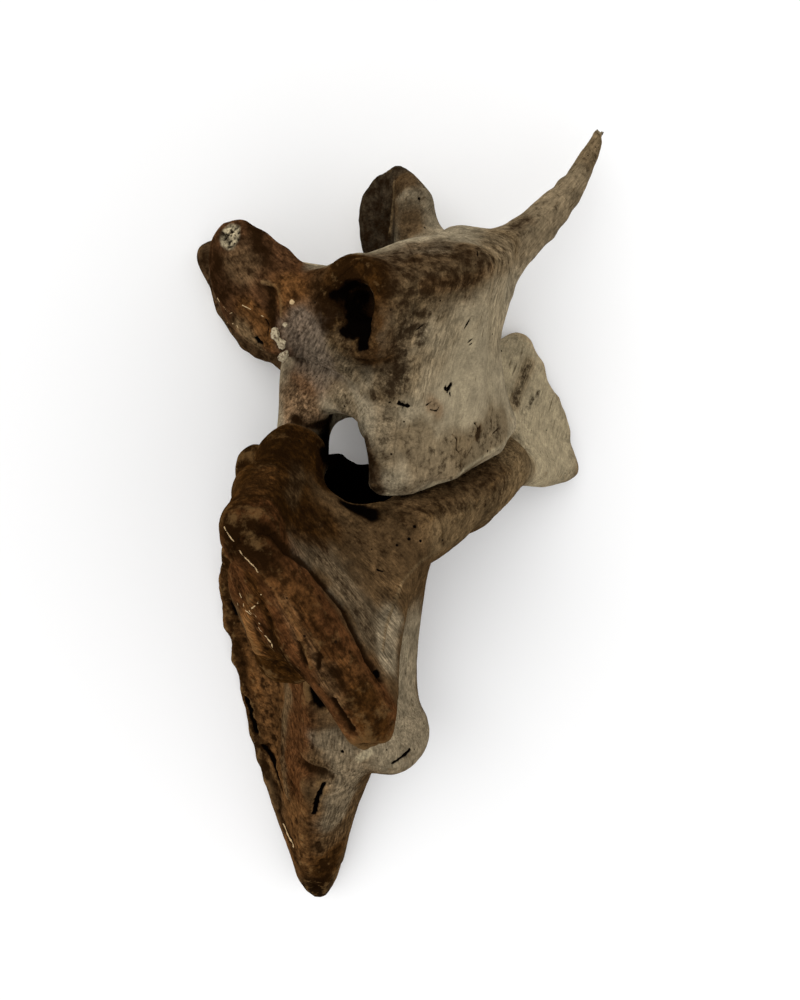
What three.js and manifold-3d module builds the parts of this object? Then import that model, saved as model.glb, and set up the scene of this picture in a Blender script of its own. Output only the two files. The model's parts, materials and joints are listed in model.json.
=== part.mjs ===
// Last lumbar vertebra of a deer, dried fast to the sacrum it sat on, life size, in millimetres.
// Each bone is described in its own body frame: +x to the animal's right, +y towards the head,
// +z towards the back, with the origin at the centre of the joint between the two bones.
// The bones are then placed together, turned as the pair lies at rest, and set on z = 0.

import * as THREE from 'three';
import { triTable } from 'three/addons/objects/MarchingCubes.js';
import Module from 'manifold-3d';

// Mesh sizes

const LUMBAR_STEP = 1.95;
const SACRUM_STEP = 2.3;
const RELAX_ROUNDS = 10;
const RELAX_SHARE = 0.45;
const CUT_GAP = 0.3;
const JOINT_GAP = 0.65;
const JOINT_SPACE = { front: 10.4, low: 6.5, high: 26 };

// How the lumbar vertebra sits against the sacrum

const LUMBAR_SHIFT = [-0.8, 2.1, 1.8];
const LUMBAR_TURN = [12.0, -10.1, -1.0];

// How the pair lies on the floor

const REST_TURN = [-161.501, -51.973, -174.853];
const REST_SHIFT = [2.168, 18.845, 32.235];

// Lumbar body and canal

const BODY_LENGTH = 30.4;
const BODY_WAIST_Y = 15;
const BODY_HALF_WIDTH = { caudal: 17.2, waist: 13.2, cranial: 16.0 };
const BODY_HALF_HEIGHT = { caudal: 7.4, waist: 6.6, cranial: 8.4 };
const BODY_MID_LINE = [[0, 0.4], [16, 1.2], [32, -0.4]];
const BODY_SQUARENESS = 2.3;
const BODY_EDGE = 1.6;
const BODY_HIND_Y = -1.0;
const DOME = { acrossX: 0.011, acrossZ: 0.036, middleZ: 1.5 };
const KEEL = { from: [0, 6, -4.6], to: [0, 27, -5.2], radii: [1.6, 2.2] };
const LUMBAR_CANAL = { halfWidth: 8.3, halfHeight: 5.4, z: 12.0 };

// Lumbar arch and lamina, each an oval tube from end to end of the given length

const ARCH = { z: 10.5, halfWidth: 11.9, halfHeight: 9.9, middleY: 14.4, halfLength: 8.0, squareness: 2.6 };
const LAMINA = { z: 17.8, halfWidth: 10.4, halfHeight: 3.2, middleY: 11.4, halfLength: 9.6, squareness: 2.2 };
const PEDICLE = { centre: [12.2, 22.4, 6.8], half: [5.2, 7.6, 6.6] };

// Lumbar articular processes, spine and transverse processes

const ARTICULAR = { side: 15.0, halfThickness: 3.6, round: 2.6, farGrowth: 1.2 };
const MAMMILLARY = { centre: [16.2, 26.6, 20.6], half: [3.2, 7.0, 4.6] };
const HIND_PROCESS = { from: [7.4, 11, 17.6], to: [9.6, -1.2, 18.6], radii: [4.2, 4.1] };
const LUMBAR_FACET = { from: [10.4, 25, 21.2], to: [10.8, 42, 21.8], radii: [4.6, 6.2] };
const SPINE = { halfThickness: 1.7, tipGrowth: 1.3, rootGrowth: 1.6 };
const TRANSVERSE = { rootHalf: 3.0, tipHalf: 1.2, rootSide: 17, reach: 26, rootZ: 0.5, droop: 0.035 };

// The broken root of the near transverse process, and the notches for the nerves

const ROOT_STUMP = { centre: [14.2, 23.8, 0.8], half: [4.6, 6.4, 4.6] };
const ROOT_SCAR = { from: [17.8, 25.2, 1.0], to: [18.0, 19.4, -0.2], radii: [3.3, 0.9] };
const ROOT_HOLLOW = { from: [17.8, 25.2, 1.0], to: [12.2, 24.4, 1.2], radii: [2.9, 1.7] };
const HIND_NOTCH = { from: [4, 1.4, 10.4], to: [17, 1.0, 8.8], radii: [4.6, 7.7] };
const FORE_NOTCH = { from: [6, 31.4, 10.4], to: [20, 31.8, 8.2], radii: [3.4, 3.6] };

// Sacrum

const SACRUM_LENGTH = 89.6;
const SACRUM_EDGE = 1.6;
const PROMONTORY = { centre: [0, -50.2, -0.6], half: [7.4, 4.6, 4.5] };
const MARGIN = { halfHeight: 2.6, middleY: -50, halfLength: 46 };
const SACRAL_ARCH = { lowerHeight: 3, middleY: -49, halfLength: 44.6 };
const NEAR_WING_SPAN = 43.5;
const FAR_WING_SPAN = 41.2;
const WING_EDGE = 2.6;
const INNER_SHOULDER = { from: [17.0, 3.6, 16.2], to: [30, 4.2, 12.4], radii: [2.6, 2.8] };
const OUTER_SHOULDER = { from: [30, 4.2, 12.4], to: [40.8, 6.0, 6.2], radii: [2.8, 2.2] };
const UPPER_TUBER = { from: [36, -3, 6.6], to: [29, -19, 7.5], radii: [4.8, 3.2] };
const LOWER_TUBER = { from: [37, -8, 0], to: [30, -17, 4], radii: [4.5, 3.0] };
const WORN_NOTCHES = [
  { from: [-40.2, 12.1, -2.1], to: [-40.2, 5.4, 8.0], radii: [1.5, 1.5] },
  { from: [-41.0, 7.4, -5.4], to: [-41.0, 0.7, 4.6], radii: [1.7, 1.7] },
  { from: [-41.2, -3.7, -13.4], to: [-41.2, -10.4, -3.4], radii: [1.8, 1.8] },
];
const BLOCK = { side: 17.2, halfThickness: 4.2 };
const CREST = { halfThickness: 1.9, topGrowth: 0.9 };
const SACRAL_FACET = { from: [9.6, -3.6, 19.4], to: [9.2, 12, 18.6], radii: [4.9, 5.2] };
const CANAL_MOUTH = { z: 11.6, halfWidth: 13.0, halfHeight: 6.4, middleY: 3, halfLength: 9.0 };
const NERVE_HOLLOW = { centre: [12.0, -0.5, 7.6], half: [6.4, 6.6, 5.2] };
const FIRST_FORAMEN = { from: [15.4, -30.0, -6], to: [14.0, -31.5, 24], radii: [2.0, 2.4] };
const SECOND_FORAMEN = { from: [11.0, -54.5, -2], to: [10.0, -55.5, 22], radii: [1.7, 1.8] };

const DEGREE = Math.PI / 180;

// Small helpers for distances

const clamp = (value, low, high) => Math.min(Math.max(value, low), high);

const mix = (a, b, t) => a + (b - a) * t;

/** Blend two solids with a fillet of about `k` millimetres. */
function join(a, b, k) {
  const h = Math.max(k - Math.abs(a - b), 0) / k;
  return Math.min(a, b) - h * h * k * 0.25;
}

/** Keep what is inside both, with a rounded edge of about `k` millimetres. */
function keep(a, b, k) {
  return -join(-a, -b, k);
}

/** Take the solid `b` out of `a`, with a rounded lip of about `k` millimetres. */
function cut(a, b, k) {
  return keep(a, -b, k);
}

/** Value of a profile given as [position, value] pairs, with a smooth curve through its stations. */
function profile(stations, at) {
  const last = stations.length - 1;
  if (at <= stations[0][0]) {
    return stations[0][1];
  }
  if (at >= stations[last][0]) {
    return stations[last][1];
  }
  let i = 1;
  while (at > stations[i][0]) {
    i += 1;
  }
  const [x0, v0] = stations[i - 1];
  const [x1, v1] = stations[i];
  const before = stations[Math.max(i - 2, 0)];
  const after = stations[Math.min(i + 1, last)];
  const slope0 = (v1 - before[1]) / (x1 - before[0]);
  const slope1 = (after[1] - v0) / (after[0] - x0);
  const w = x1 - x0;
  const t = (at - x0) / w;
  const ease = t * t * (3 - 2 * t);
  return mix(v0, v1, ease) + w * t * (1 - t) * ((1 - t) * slope0 - t * slope1);
}

/** Distance to a tapering rod with round ends. */
function rod(x, y, z, shape) {
  const a = shape.from;
  const b = shape.to;
  const bx = b[0] - a[0];
  const by = b[1] - a[1];
  const bz = b[2] - a[2];
  const px = x - a[0];
  const py = y - a[1];
  const pz = z - a[2];
  const t = clamp((px * bx + py * by + pz * bz) / (bx * bx + by * by + bz * bz), 0, 1);
  return Math.hypot(px - bx * t, py - by * t, pz - bz * t) - mix(shape.radii[0], shape.radii[1], t);
}

/** Distance to an ellipsoid. */
function egg(x, y, z, shape) {
  const c = shape.centre;
  const r = shape.half;
  const px = x - c[0];
  const py = y - c[1];
  const pz = z - c[2];
  const k0 = Math.hypot(px / r[0], py / r[1], pz / r[2]);
  const k1 = Math.hypot(px / (r[0] * r[0]), py / (r[1] * r[1]), pz / (r[2] * r[2]));
  return k0 < 1e-6 ? -Math.min(r[0], r[1], r[2]) : (k0 * (k0 - 1)) / k1;
}

/** Distance in a plane to an oval whose sides are squared a little by `power` over two. */
function oval(u, v, ru, rv, power) {
  const a = Math.abs(u) / ru;
  const b = Math.abs(v) / rv;
  const k0 = Math.pow(Math.pow(a, power) + Math.pow(b, power), 1 / power);
  const k1 = Math.hypot(u / (ru * ru), v / (rv * rv));
  const q = Math.hypot(a, b);
  return k0 < 1e-6 ? -Math.min(ru, rv) : ((k0 - 1) * q) / Math.max(k1, 1e-6);
}

/** Distance in a plane to a closed outline. */
function outline(u, v, points) {
  let best = Infinity;
  let inside = false;
  const n = points.length;
  for (let i = 0, j = n - 1; i < n; j = i, i += 1) {
    const [ax, ay] = points[i];
    const [bx, by] = points[j];
    const ex = bx - ax;
    const ey = by - ay;
    const wx = u - ax;
    const wy = v - ay;
    const t = clamp((wx * ex + wy * ey) / (ex * ex + ey * ey), 0, 1);
    const dx = wx - ex * t;
    const dy = wy - ey * t;
    best = Math.min(best, dx * dx + dy * dy);
    if (ay > v !== by > v && u < ((bx - ax) * (v - ay)) / (by - ay) + ax) {
      inside = !inside;
    }
  }
  return Math.sqrt(best) * (inside ? -1 : 1);
}

/** Distance to a flat piece of the given half thickness, `w` off its middle, edges rounded. */
function slab(edge, w, half, round) {
  const a = edge + round;
  const b = Math.abs(w) - half + round;
  return Math.min(Math.max(a, b), 0) + Math.hypot(Math.max(a, 0), Math.max(b, 0)) - round;
}

// The last lumbar vertebra

const SPINE_OUTLINE = [
  [4.5, 19], [6.5, 27], [9.0, 32.2], [9.4, 36], [11.2, 39.8], [17.5, 43.2],
  [22.2, 45.0], [26.6, 45.5], [27.8, 43.4], [27.2, 36], [25.6, 28], [25.0, 19],
];

const NEAR_ARTICULAR_OUTLINE = [
  [22, 10], [26.4, 9.8], [28.8, 12.8], [31.8, 16.0], [34.2, 18.8], [33.6, 21.8],
  [31.0, 24.0], [27.0, 24.6], [22.8, 23.4], [18.4, 20.8], [16.6, 17.0], [16.5, 12],
];

const FAR_ARTICULAR_OUTLINE = [
  [23.6, 10.2], [29.2, 9.8], [32.2, 12.8], [35.2, 16.0], [37.0, 18.7], [36.3, 22.0],
  [33.3, 24.6], [29.0, 25.2], [24.4, 23.9], [20.0, 21.0], [18.2, 17.2], [18.1, 12.2],
];

const TRANSVERSE_OUTLINE = [
  [12, 28.6], [18.3, 29.2], [23.1, 30.3], [28.4, 32.1], [32.3, 33.5], [36.1, 35.4], [40.4, 38.4],
  [47.4, 43.6], [45.4, 38.6], [43.0, 35.2], [40.6, 33.2], [37.6, 30.7], [34.4, 28.4],
  [31.2, 26.8], [28.0, 25.5], [24.0, 24.3], [21.0, 23.4], [18.4, 22.0], [16.0, 19.4], [12, 17],
];

/** Distance to the lumbar vertebra, negative inside. */
function lumbar(x, y, z) {
  const side = Math.abs(x);
  const near = x > 0;
  const ahead = y > BODY_WAIST_Y;
  const end = ahead ? (y - BODY_WAIST_Y) / (BODY_LENGTH - BODY_WAIST_Y) : (BODY_WAIST_Y - y) / BODY_WAIST_Y;
  const flare = Math.pow(clamp(Math.abs(end), 0, 1.2), 2.2);
  const at = ahead ? 'cranial' : 'caudal';
  const halfWidth = mix(BODY_HALF_WIDTH.waist, BODY_HALF_WIDTH[at], flare);
  const halfHeight = mix(BODY_HALF_HEIGHT.waist, BODY_HALF_HEIGHT[at], flare);
  const bodyMid = profile(BODY_MID_LINE, y);

  let body = oval(x, z - bodyMid, halfWidth, halfHeight, BODY_SQUARENESS);
  const dome = BODY_LENGTH - DOME.acrossX * x * x - DOME.acrossZ * (z - DOME.middleZ) * (z - DOME.middleZ);
  body = keep(body, (y - dome) * 0.92, BODY_EDGE);
  body = keep(body, BODY_HIND_Y - y, BODY_EDGE);
  body = join(body, rod(side, y, z, KEEL), 3);

  const archRing = oval(x, z - ARCH.z, ARCH.halfWidth, ARCH.halfHeight, ARCH.squareness);
  const laminaRing = oval(x, z - LAMINA.z, LAMINA.halfWidth, LAMINA.halfHeight, LAMINA.squareness);
  let bone = join(body, slab(archRing, y - ARCH.middleY, ARCH.halfLength, 2), 3);
  bone = join(bone, slab(laminaRing, y - LAMINA.middleY, LAMINA.halfLength, 2), 3);

  const edge = outline(y, z, near ? NEAR_ARTICULAR_OUTLINE : FAR_ARTICULAR_OUTLINE);
  const articularEdge = near ? edge : edge - ARTICULAR.farGrowth;
  let articular = slab(articularEdge, side - ARTICULAR.side, ARTICULAR.halfThickness, ARTICULAR.round);
  articular = join(articular, egg(side, y, z, MAMMILLARY), 2.5);
  bone = join(bone, articular, 4);
  bone = join(bone, rod(side, y, z, HIND_PROCESS), 3);

  const tip = SPINE.tipGrowth * clamp((z - 36) / 9, 0, 1);
  const root = SPINE.rootGrowth * clamp((26 - z) / 7, 0, 1);
  bone = join(bone, slab(outline(y, z, SPINE_OUTLINE), x, SPINE.halfThickness + tip + root, 1.5), 4);

  if (near) {
    bone = join(bone, egg(x, y, z, ROOT_STUMP), 2.4);
  } else {
    const out = side - TRANSVERSE.rootSide;
    const half = mix(TRANSVERSE.rootHalf, TRANSVERSE.tipHalf, clamp(out / TRANSVERSE.reach, 0, 1));
    const level = TRANSVERSE.rootZ - TRANSVERSE.droop * out;
    bone = join(bone, slab(outline(side, y, TRANSVERSE_OUTLINE), z - level, half, 1.4), 3.6);
  }
  bone = join(bone, egg(side, y, z, PEDICLE), 3);

  const canal = oval(x, z - LUMBAR_CANAL.z, LUMBAR_CANAL.halfWidth, LUMBAR_CANAL.halfHeight, 2.3);
  bone = cut(bone, canal, 1.2);
  bone = cut(bone, rod(side, y, z, HIND_NOTCH), 1.5);
  bone = cut(bone, rod(side, y, z, FORE_NOTCH), 1.5);
  bone = cut(bone, rod(side, y, z, LUMBAR_FACET), 1.2);
  if (near) {
    bone = cut(bone, rod(x, y, z, ROOT_SCAR), 0.8);
    bone = cut(bone, rod(x, y, z, ROOT_HOLLOW), 0.8);
  }
  return bone;
}

// The sacrum

const CREST_OUTLINE = [
  [-6, 12], [-6.6, 24], [-7.2, 34.2], [-10.2, 35.8], [-14, 35.2], [-18, 35.4], [-24, 36.2], [-30, 36.9], [-37, 36.5],
  [-43.3, 34.9],
  [-49.9, 32.6], [-61.8, 28.8], [-69.1, 25.7], [-76.5, 21.7], [-83.1, 16.6], [-87.2, 13.2], [-90.0, 10.2], [-88, 8],
];

const PELVIC_LINE = [
  [-92, 8.6], [-85, 6.8], [-78, 6.4], [-70, 5.4], [-63, 4.4], [-58, 3.0], [-54, 1.2], [-50, -0.6],
  [-46, -0.8], [-42, 0.4], [-38, 1.3], [-31, 2.2], [-23, 3.0], [-18, 2.0], [-12, -0.6], [-6, -3.8], [0, -6.2],
];

const BODY_TOP_LINE = [[-92, 12.0], [-80, 12.8], [-60, 11.6], [-42, 10.4], [-20, 9.4], [0, 6.6]];

const BODY_WIDTH_LINE = [
  [-92, 2.8], [-86, 4.4], [-80, 5.4], [-70, 6.8], [-60, 8.6], [-53, 10.0], [-44, 10.6], [-30, 12.2], [-16, 14.0], [0, 18.0],
];

const MARGIN_WIDTH_LINE = [
  [-92, 2.6], [-85, 5.0], [-75, 8.0], [-65, 9.8], [-55, 11.4], [-45, 13.6], [-34, 16.6], [-24, 21.0], [-14, 25], [-6, 24], [0, 18],
];

const MARGIN_HEIGHT_LINE = [[-92, 10.0], [-75, 10.4], [-60, 10.0], [-40, 10.2], [-20, 9.6], [0, 8.0]];

const NEAR_WING_TOP = [
  [10, [-10, 12]], [17, [-2, 15]], [24, [3.4, 14.6]], [32, [5.8, 12.4]], [38, [7.0, 10.4]], [44, [7.4, 8.8]],
];

const NEAR_WING_BOTTOM = [
  [10, [-3.0, -5.8]], [17, [-4.6, -5.9]], [23, [-8.0, -6.2]], [30, [-11.6, -8.8]], [36, [-13.4, -11.8]],
  [44, [-14.9, -15.0]],
];

const FAR_WING_TOP = [
  [10, [-10, 12]], [17, [-2, 15]], [24, [3.8, 14.0]], [30, [7.6, 11.4]], [36, [9.8, 8.2]], [42, [10.4, 6.8]],
];

const FAR_WING_BOTTOM = [
  [10, [-3.0, -7.0]], [17, [-4.4, -7.2]], [23, [-8.0, -6.4]], [30, [-11.2, -7.4]], [36, [-12.6, -8.2]],
  [42, [-12.8, -8.6]],
];

const SACRAL_ARCH_TOP_LINE = [[-92, 11.2], [-80, 16.4], [-60, 19.0], [-40, 20.4], [-4, 20.5]];

const SACRAL_ARCH_WIDTH_LINE = [[-94, 2.6], [-80, 4.6], [-60, 8.2], [-40, 10.6], [-10, 12], [0, 12]];

const BLOCK_OUTLINE = [
  [-9, 12], [-9, 18.4], [-3, 19.4], [2.8, 20.0], [6.2, 19.2], [6.8, 16.0], [5.2, 12.0], [-3, 10],
];

const CANAL_HEIGHT_LINE = [[-94, 13.6], [-80, 14.2], [-60, 14.6], [-40, 14.6], [-14, 14], [0, 12.2]];

const CANAL_WIDTH_LINE = [[-94, 1.6], [-80, 3], [-60, 5], [-40, 6.6], [0, 8.4]];

const CANAL_DEPTH_LINE = [[-94, 1.2], [-80, 1.8], [-60, 2.8], [-40, 3.8], [0, 5.2]];

const WING_THICKNESS_LINE = [[10, 4.0], [24, 3.0], [34, 2.7], [40, 3.4], [44, 3.6]];

/** Point of a wing border at a distance `at` from the middle plane. */
function border(stations, at) {
  let i = 1;
  while (i < stations.length - 1 && at > stations[i][0]) {
    i += 1;
  }
  const [s0, p0] = stations[i - 1];
  const [s1, p1] = stations[i];
  const t = clamp((at - s0) / (s1 - s0), 0, 1);
  return [mix(p0[0], p1[0], t), mix(p0[1], p1[1], t)];
}

/** Distance to one wing of the sacrum, from its two borders and its reach from the middle plane. */
function wing(side, y, z, topBorder, bottomBorder, span) {
  const at = clamp(side, 10, 44);
  const top = border(topBorder, at);
  const bottom = border(bottomBorder, at);
  const thick = profile(WING_THICKNESS_LINE, at);
  const ey = bottom[0] - top[0];
  const ez = bottom[1] - top[1];
  const inset = thick / Math.hypot(ey, ez);
  const t = clamp(((y - top[0]) * ey + (z - top[1]) * ez) / (ey * ey + ez * ez), inset, 1 - inset);
  const edge = Math.hypot(y - top[0] - ey * t, z - top[1] - ez * t) - thick;
  return keep(edge * 0.86, side - span, WING_EDGE);
}

/** Distance to the sacrum, negative inside. */
function sacrum(x, y, z) {
  const side = Math.abs(x);
  const near = x > 0;
  const floor = profile(PELVIC_LINE, y);
  const roof = profile(BODY_TOP_LINE, y);
  const bodyWidth = profile(BODY_WIDTH_LINE, y);
  const marginWidth = profile(MARGIN_WIDTH_LINE, y);
  const marginHeight = profile(MARGIN_HEIGHT_LINE, y);
  const ends = Math.abs(y + SACRUM_LENGTH / 2) - SACRUM_LENGTH / 2;
  const blend = mix(1.2, 4, clamp((y + 84) / 34, 0, 1));

  let body = oval(x, z - (floor + roof) / 2, bodyWidth, (roof - floor) / 2, 2.4) * 0.9;
  body = keep(body, ends, SACRUM_EDGE);
  const marginRing = oval(x, z - marginHeight, marginWidth, MARGIN.halfHeight, 2.0);
  const margin = keep(slab(marginRing, y - MARGIN.middleY, MARGIN.halfLength, 2), ends, SACRUM_EDGE);
  let bone = join(body, margin, blend);
  bone = join(bone, egg(x, y, z, PROMONTORY), 3);

  const archRise = z > marginHeight ? profile(SACRAL_ARCH_TOP_LINE, y) - marginHeight : SACRAL_ARCH.lowerHeight;
  const archRing = oval(x, z - marginHeight, profile(SACRAL_ARCH_WIDTH_LINE, y), archRise, 2.2);
  bone = join(bone, slab(archRing, y - SACRAL_ARCH.middleY, SACRAL_ARCH.halfLength, 2), blend);

  const top = near ? NEAR_WING_TOP : FAR_WING_TOP;
  const bottom = near ? NEAR_WING_BOTTOM : FAR_WING_BOTTOM;
  bone = join(bone, wing(side, y, z, top, bottom, near ? NEAR_WING_SPAN : FAR_WING_SPAN), 4);
  bone = join(bone, slab(outline(y, z, BLOCK_OUTLINE), side - BLOCK.side, BLOCK.halfThickness, 1.6), 3);
  if (near) {
    bone = join(bone, rod(side, y, z, INNER_SHOULDER), 3);
    bone = join(bone, rod(side, y, z, OUTER_SHOULDER), 3);
    bone = join(bone, rod(side, y, z, UPPER_TUBER), 4);
    bone = join(bone, rod(side, y, z, LOWER_TUBER), 4);
  } else {
    WORN_NOTCHES.forEach((notch) => {
      bone = cut(bone, rod(x, y, z, notch), 1);
    });
  }

  const crestHalf = CREST.halfThickness + CREST.topGrowth * clamp((z - 30) / 6, 0, 1);
  bone = join(bone, slab(outline(y, z, CREST_OUTLINE), x, crestHalf, 1.6), 5);

  const halfWidth = profile(CANAL_WIDTH_LINE, y);
  const halfHeight = profile(CANAL_DEPTH_LINE, y);
  const canal = keep(oval(x, z - profile(CANAL_HEIGHT_LINE, y), halfWidth, halfHeight, 2.2), -74 - y, 1);
  bone = cut(bone, canal, 1);
  bone = cut(bone, rod(side, y, z, SACRAL_FACET), 1);
  const mouthRing = oval(x, z - CANAL_MOUTH.z, CANAL_MOUTH.halfWidth, CANAL_MOUTH.halfHeight, 2.6);
  bone = cut(bone, slab(mouthRing, y - CANAL_MOUTH.middleY, CANAL_MOUTH.halfLength, 2.5), 1.6);
  bone = cut(bone, egg(side, y, z, NERVE_HOLLOW), 1.4);
  bone = cut(bone, rod(side, y, z, FIRST_FORAMEN), 1.2);
  bone = cut(bone, rod(side, y, z, SECOND_FORAMEN), 1.2);
  return bone;
}

// Where each bone is parted, as boxes in its own frame

const LUMBAR_CUTS = [
  ['spinous_process', [-9, -5, 26.4], [9, 50, 60]],
  ['left_transverse_process', [-60, 5, -20], [-20.6, 60, 12]],
  ['right_cranial_process', [7.4, 23.0, 9.6], [30, 50, 40]],
  ['left_cranial_process', [-30, 23.0, 9.6], [-7.4, 50, 40]],
  ['vertebral_arch', [-40, -20, 9.6], [40, 60, 60]],
];

const SACRUM_CUTS = [
  ['sacral_crest', [-9, -75, 22.6], [9, 20, 60]],
  ['right_sacral_wing', [24, -40, -30], [60, 40, 40]],
  ['left_sacral_wing', [-60, -40, -30], [-24, 40, 40]],
  ['sacral_segment_4', [-40, -120, -40], [40, -71, 60]],
  ['sacral_segment_3', [-40, -120, -40], [40, -52, 60]],
  ['sacral_segment_2', [-40, -120, -40], [40, -30, 60]],
];

// From a distance function to a closed surface

const CORNERS = [[0, 0, 0], [1, 0, 0], [1, 1, 0], [0, 1, 0], [0, 0, 1], [1, 0, 1], [1, 1, 1], [0, 1, 1]];
const EDGES = [[0, 1], [1, 2], [3, 2], [0, 3], [4, 5], [5, 6], [7, 6], [4, 7], [0, 4], [1, 5], [2, 6], [3, 7]];

/** Surface of a solid inside a box, as shared points and triangles. */
function polygonise(solid, low, high, step) {
  const count = low.map((v, i) => Math.ceil((high[i] - v) / step) + 1);
  const value = new Float64Array(count[0] * count[1] * count[2]);
  const index = (i, j, k) => i + count[0] * (j + count[1] * k);
  for (let k = 0; k < count[2]; k += 1) {
    for (let j = 0; j < count[1]; j += 1) {
      for (let i = 0; i < count[0]; i += 1) {
        const d = solid(low[0] + i * step, low[1] + j * step, low[2] + k * step);
        value[index(i, j, k)] = Math.abs(d) < 1e-4 ? 1e-4 : d;
      }
    }
  }
  const points = [];
  const faces = [];
  const made = new Map();
  const pointOn = (i, j, k, edge) => {
    const [a, b] = EDGES[edge].map((c) => CORNERS[c].map((o, n) => o + [i, j, k][n]));
    const axis = a[0] !== b[0] ? 0 : a[1] !== b[1] ? 1 : 2;
    const key = index(...a) * 3 + axis;
    if (!made.has(key)) {
      const va = value[index(...a)];
      const t = va / (va - value[index(...b)]);
      made.set(key, points.length / 3);
      points.push(...a.map((o, n) => low[n] + step * mix(o, b[n], t)));
    }
    return made.get(key);
  };
  for (let k = 0; k < count[2] - 1; k += 1) {
    for (let j = 0; j < count[1] - 1; j += 1) {
      for (let i = 0; i < count[0] - 1; i += 1) {
        let code = 0;
        CORNERS.forEach(([a, b, c], bit) => {
          if (value[index(i + a, j + b, k + c)] > 0) {
            code += 1 << bit;
          }
        });
        for (let n = code * 16; triTable[n] !== -1; n += 3) {
          faces.push([0, 1, 2].map((m) => pointOn(i, j, k, triTable[n + m])));
        }
      }
    }
  }
  return { points, faces };
}

/** Slide the points along the surface until the triangles are even, and put them back on it. */
function relax(solid, mesh, step) {
  const { points, faces } = mesh;
  const near = Array.from({ length: points.length / 3 }, () => new Set());
  faces.forEach(([a, b, c]) => {
    near[a].add(b).add(c);
    near[b].add(a).add(c);
    near[c].add(a).add(b);
  });
  const h = 0.05 * step;
  for (let round = 0; round < RELAX_ROUNDS; round += 1) {
    const next = points.slice();
    near.forEach((ring, v) => {
      const p = points.slice(v * 3, v * 3 + 3);
      const mean = [0, 0, 0];
      ring.forEach((n) => {
        mean[0] += points[n * 3] / ring.size;
        mean[1] += points[n * 3 + 1] / ring.size;
        mean[2] += points[n * 3 + 2] / ring.size;
      });
      const slope = [
        solid(p[0] + h, p[1], p[2]) - solid(p[0] - h, p[1], p[2]),
        solid(p[0], p[1] + h, p[2]) - solid(p[0], p[1] - h, p[2]),
        solid(p[0], p[1], p[2] + h) - solid(p[0], p[1], p[2] - h),
      ].map((s) => s / (2 * h));
      const square = slope[0] ** 2 + slope[1] ** 2 + slope[2] ** 2;
      if (square < 1e-4) {
        return;
      }
      const move = mean.map((m, n) => (m - p[n]) * RELAX_SHARE);
      const out = (move[0] * slope[0] + move[1] * slope[1] + move[2] * slope[2]) / square;
      const q = move.map((m, n) => p[n] + m - slope[n] * out);
      const back = clamp(solid(q[0], q[1], q[2]) / square, -0.3 * step, 0.3 * step);
      q.forEach((c, n) => {
        next[v * 3 + n] = c - slope[n] * back;
      });
    });
    next.forEach((c, n) => {
      points[n] = c;
    });
  }
  return mesh;
}

const manifold = await Module();
manifold.setup();
const { Manifold, Mesh } = manifold;

/** Closed solid from shared points and triangles, placed by a matrix and turned right side out. */
function toSolid(mesh, matrix) {
  const points = [];
  for (let v = 0; v < mesh.points.length; v += 3) {
    points.push(new THREE.Vector3(...mesh.points.slice(v, v + 3)).applyMatrix4(matrix));
  }
  const volume = mesh.faces.reduce((sum, [a, b, c]) => sum + points[a].dot(points[b].clone().cross(points[c])), 0);
  const faces = volume > 0 ? mesh.faces : mesh.faces.map(([a, b, c]) => [a, c, b]);
  return new Manifold(new Mesh({
    numProp: 3,
    vertProperties: Float32Array.from(points.flatMap((p) => p.toArray())),
    triVerts: Uint32Array.from(faces.flat()),
  }));
}

/** Matrix for a turn in degrees about x, y and z followed by a shift. */
function placement(turn, shift) {
  return new THREE.Matrix4().compose(
    new THREE.Vector3(...shift),
    new THREE.Quaternion().setFromEuler(new THREE.Euler(...turn.map((t) => t * DEGREE))),
    new THREE.Vector3(1, 1, 1),
  );
}

/** Solid box between two corners of a bone's own frame, grown by `grow` and placed with the bone. */
function box(low, high, grow, matrix) {
  const size = low.map((v, n) => high[n] - v + 2 * grow);
  const centre = low.map((v, n) => (v + high[n]) / 2);
  const geometry = new THREE.BoxGeometry(...size);
  geometry.translate(...centre);
  geometry.applyMatrix4(matrix);
  const at = geometry.getAttribute('position');
  const keys = new Map();
  const points = [];
  const place = [];
  for (let i = 0; i < at.count; i += 1) {
    const p = [at.getX(i), at.getY(i), at.getZ(i)];
    const key = p.map((c) => Math.round(c * 1e3)).join(' ');
    if (!keys.has(key)) {
      keys.set(key, points.length / 3);
      points.push(...p);
    }
    place.push(keys.get(key));
  }
  return new Manifold(new Mesh({
    numProp: 3,
    vertProperties: Float32Array.from(points),
    triVerts: Uint32Array.from(Array.from(geometry.index.array, (i) => place[i])),
  }));
}

/** The largest separate body of a solid, without the crumbs beside it. */
function largest(solid) {
  return solid.decompose().reduce((best, part) => (part.volume() > best.volume() ? part : best));
}

/** Part a bone into named pieces: each box takes its piece, and the last name takes what is left. */
function divide(solid, cuts, lastName, matrix) {
  const pieces = {};
  let left = solid;
  cuts.forEach(([name, low, high]) => {
    pieces[name] = largest(left.intersect(box(low, high, 0, matrix)));
    left = left.subtract(box(low, high, CUT_GAP, matrix));
  });
  pieces[lastName] = largest(left);
  return pieces;
}

const restPlace = placement(REST_TURN, REST_SHIFT);
const lumbarPlace = restPlace.clone().multiply(placement(LUMBAR_TURN, LUMBAR_SHIFT));

const lumbarMesh = relax(lumbar, polygonise(lumbar, [-50, -9, -14], [24, 46, 50], LUMBAR_STEP), LUMBAR_STEP);
const sacrumMesh = relax(sacrum, polygonise(sacrum, [-48, -98, -18], [48, 14, 42], SACRUM_STEP), SACRUM_STEP);

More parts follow.
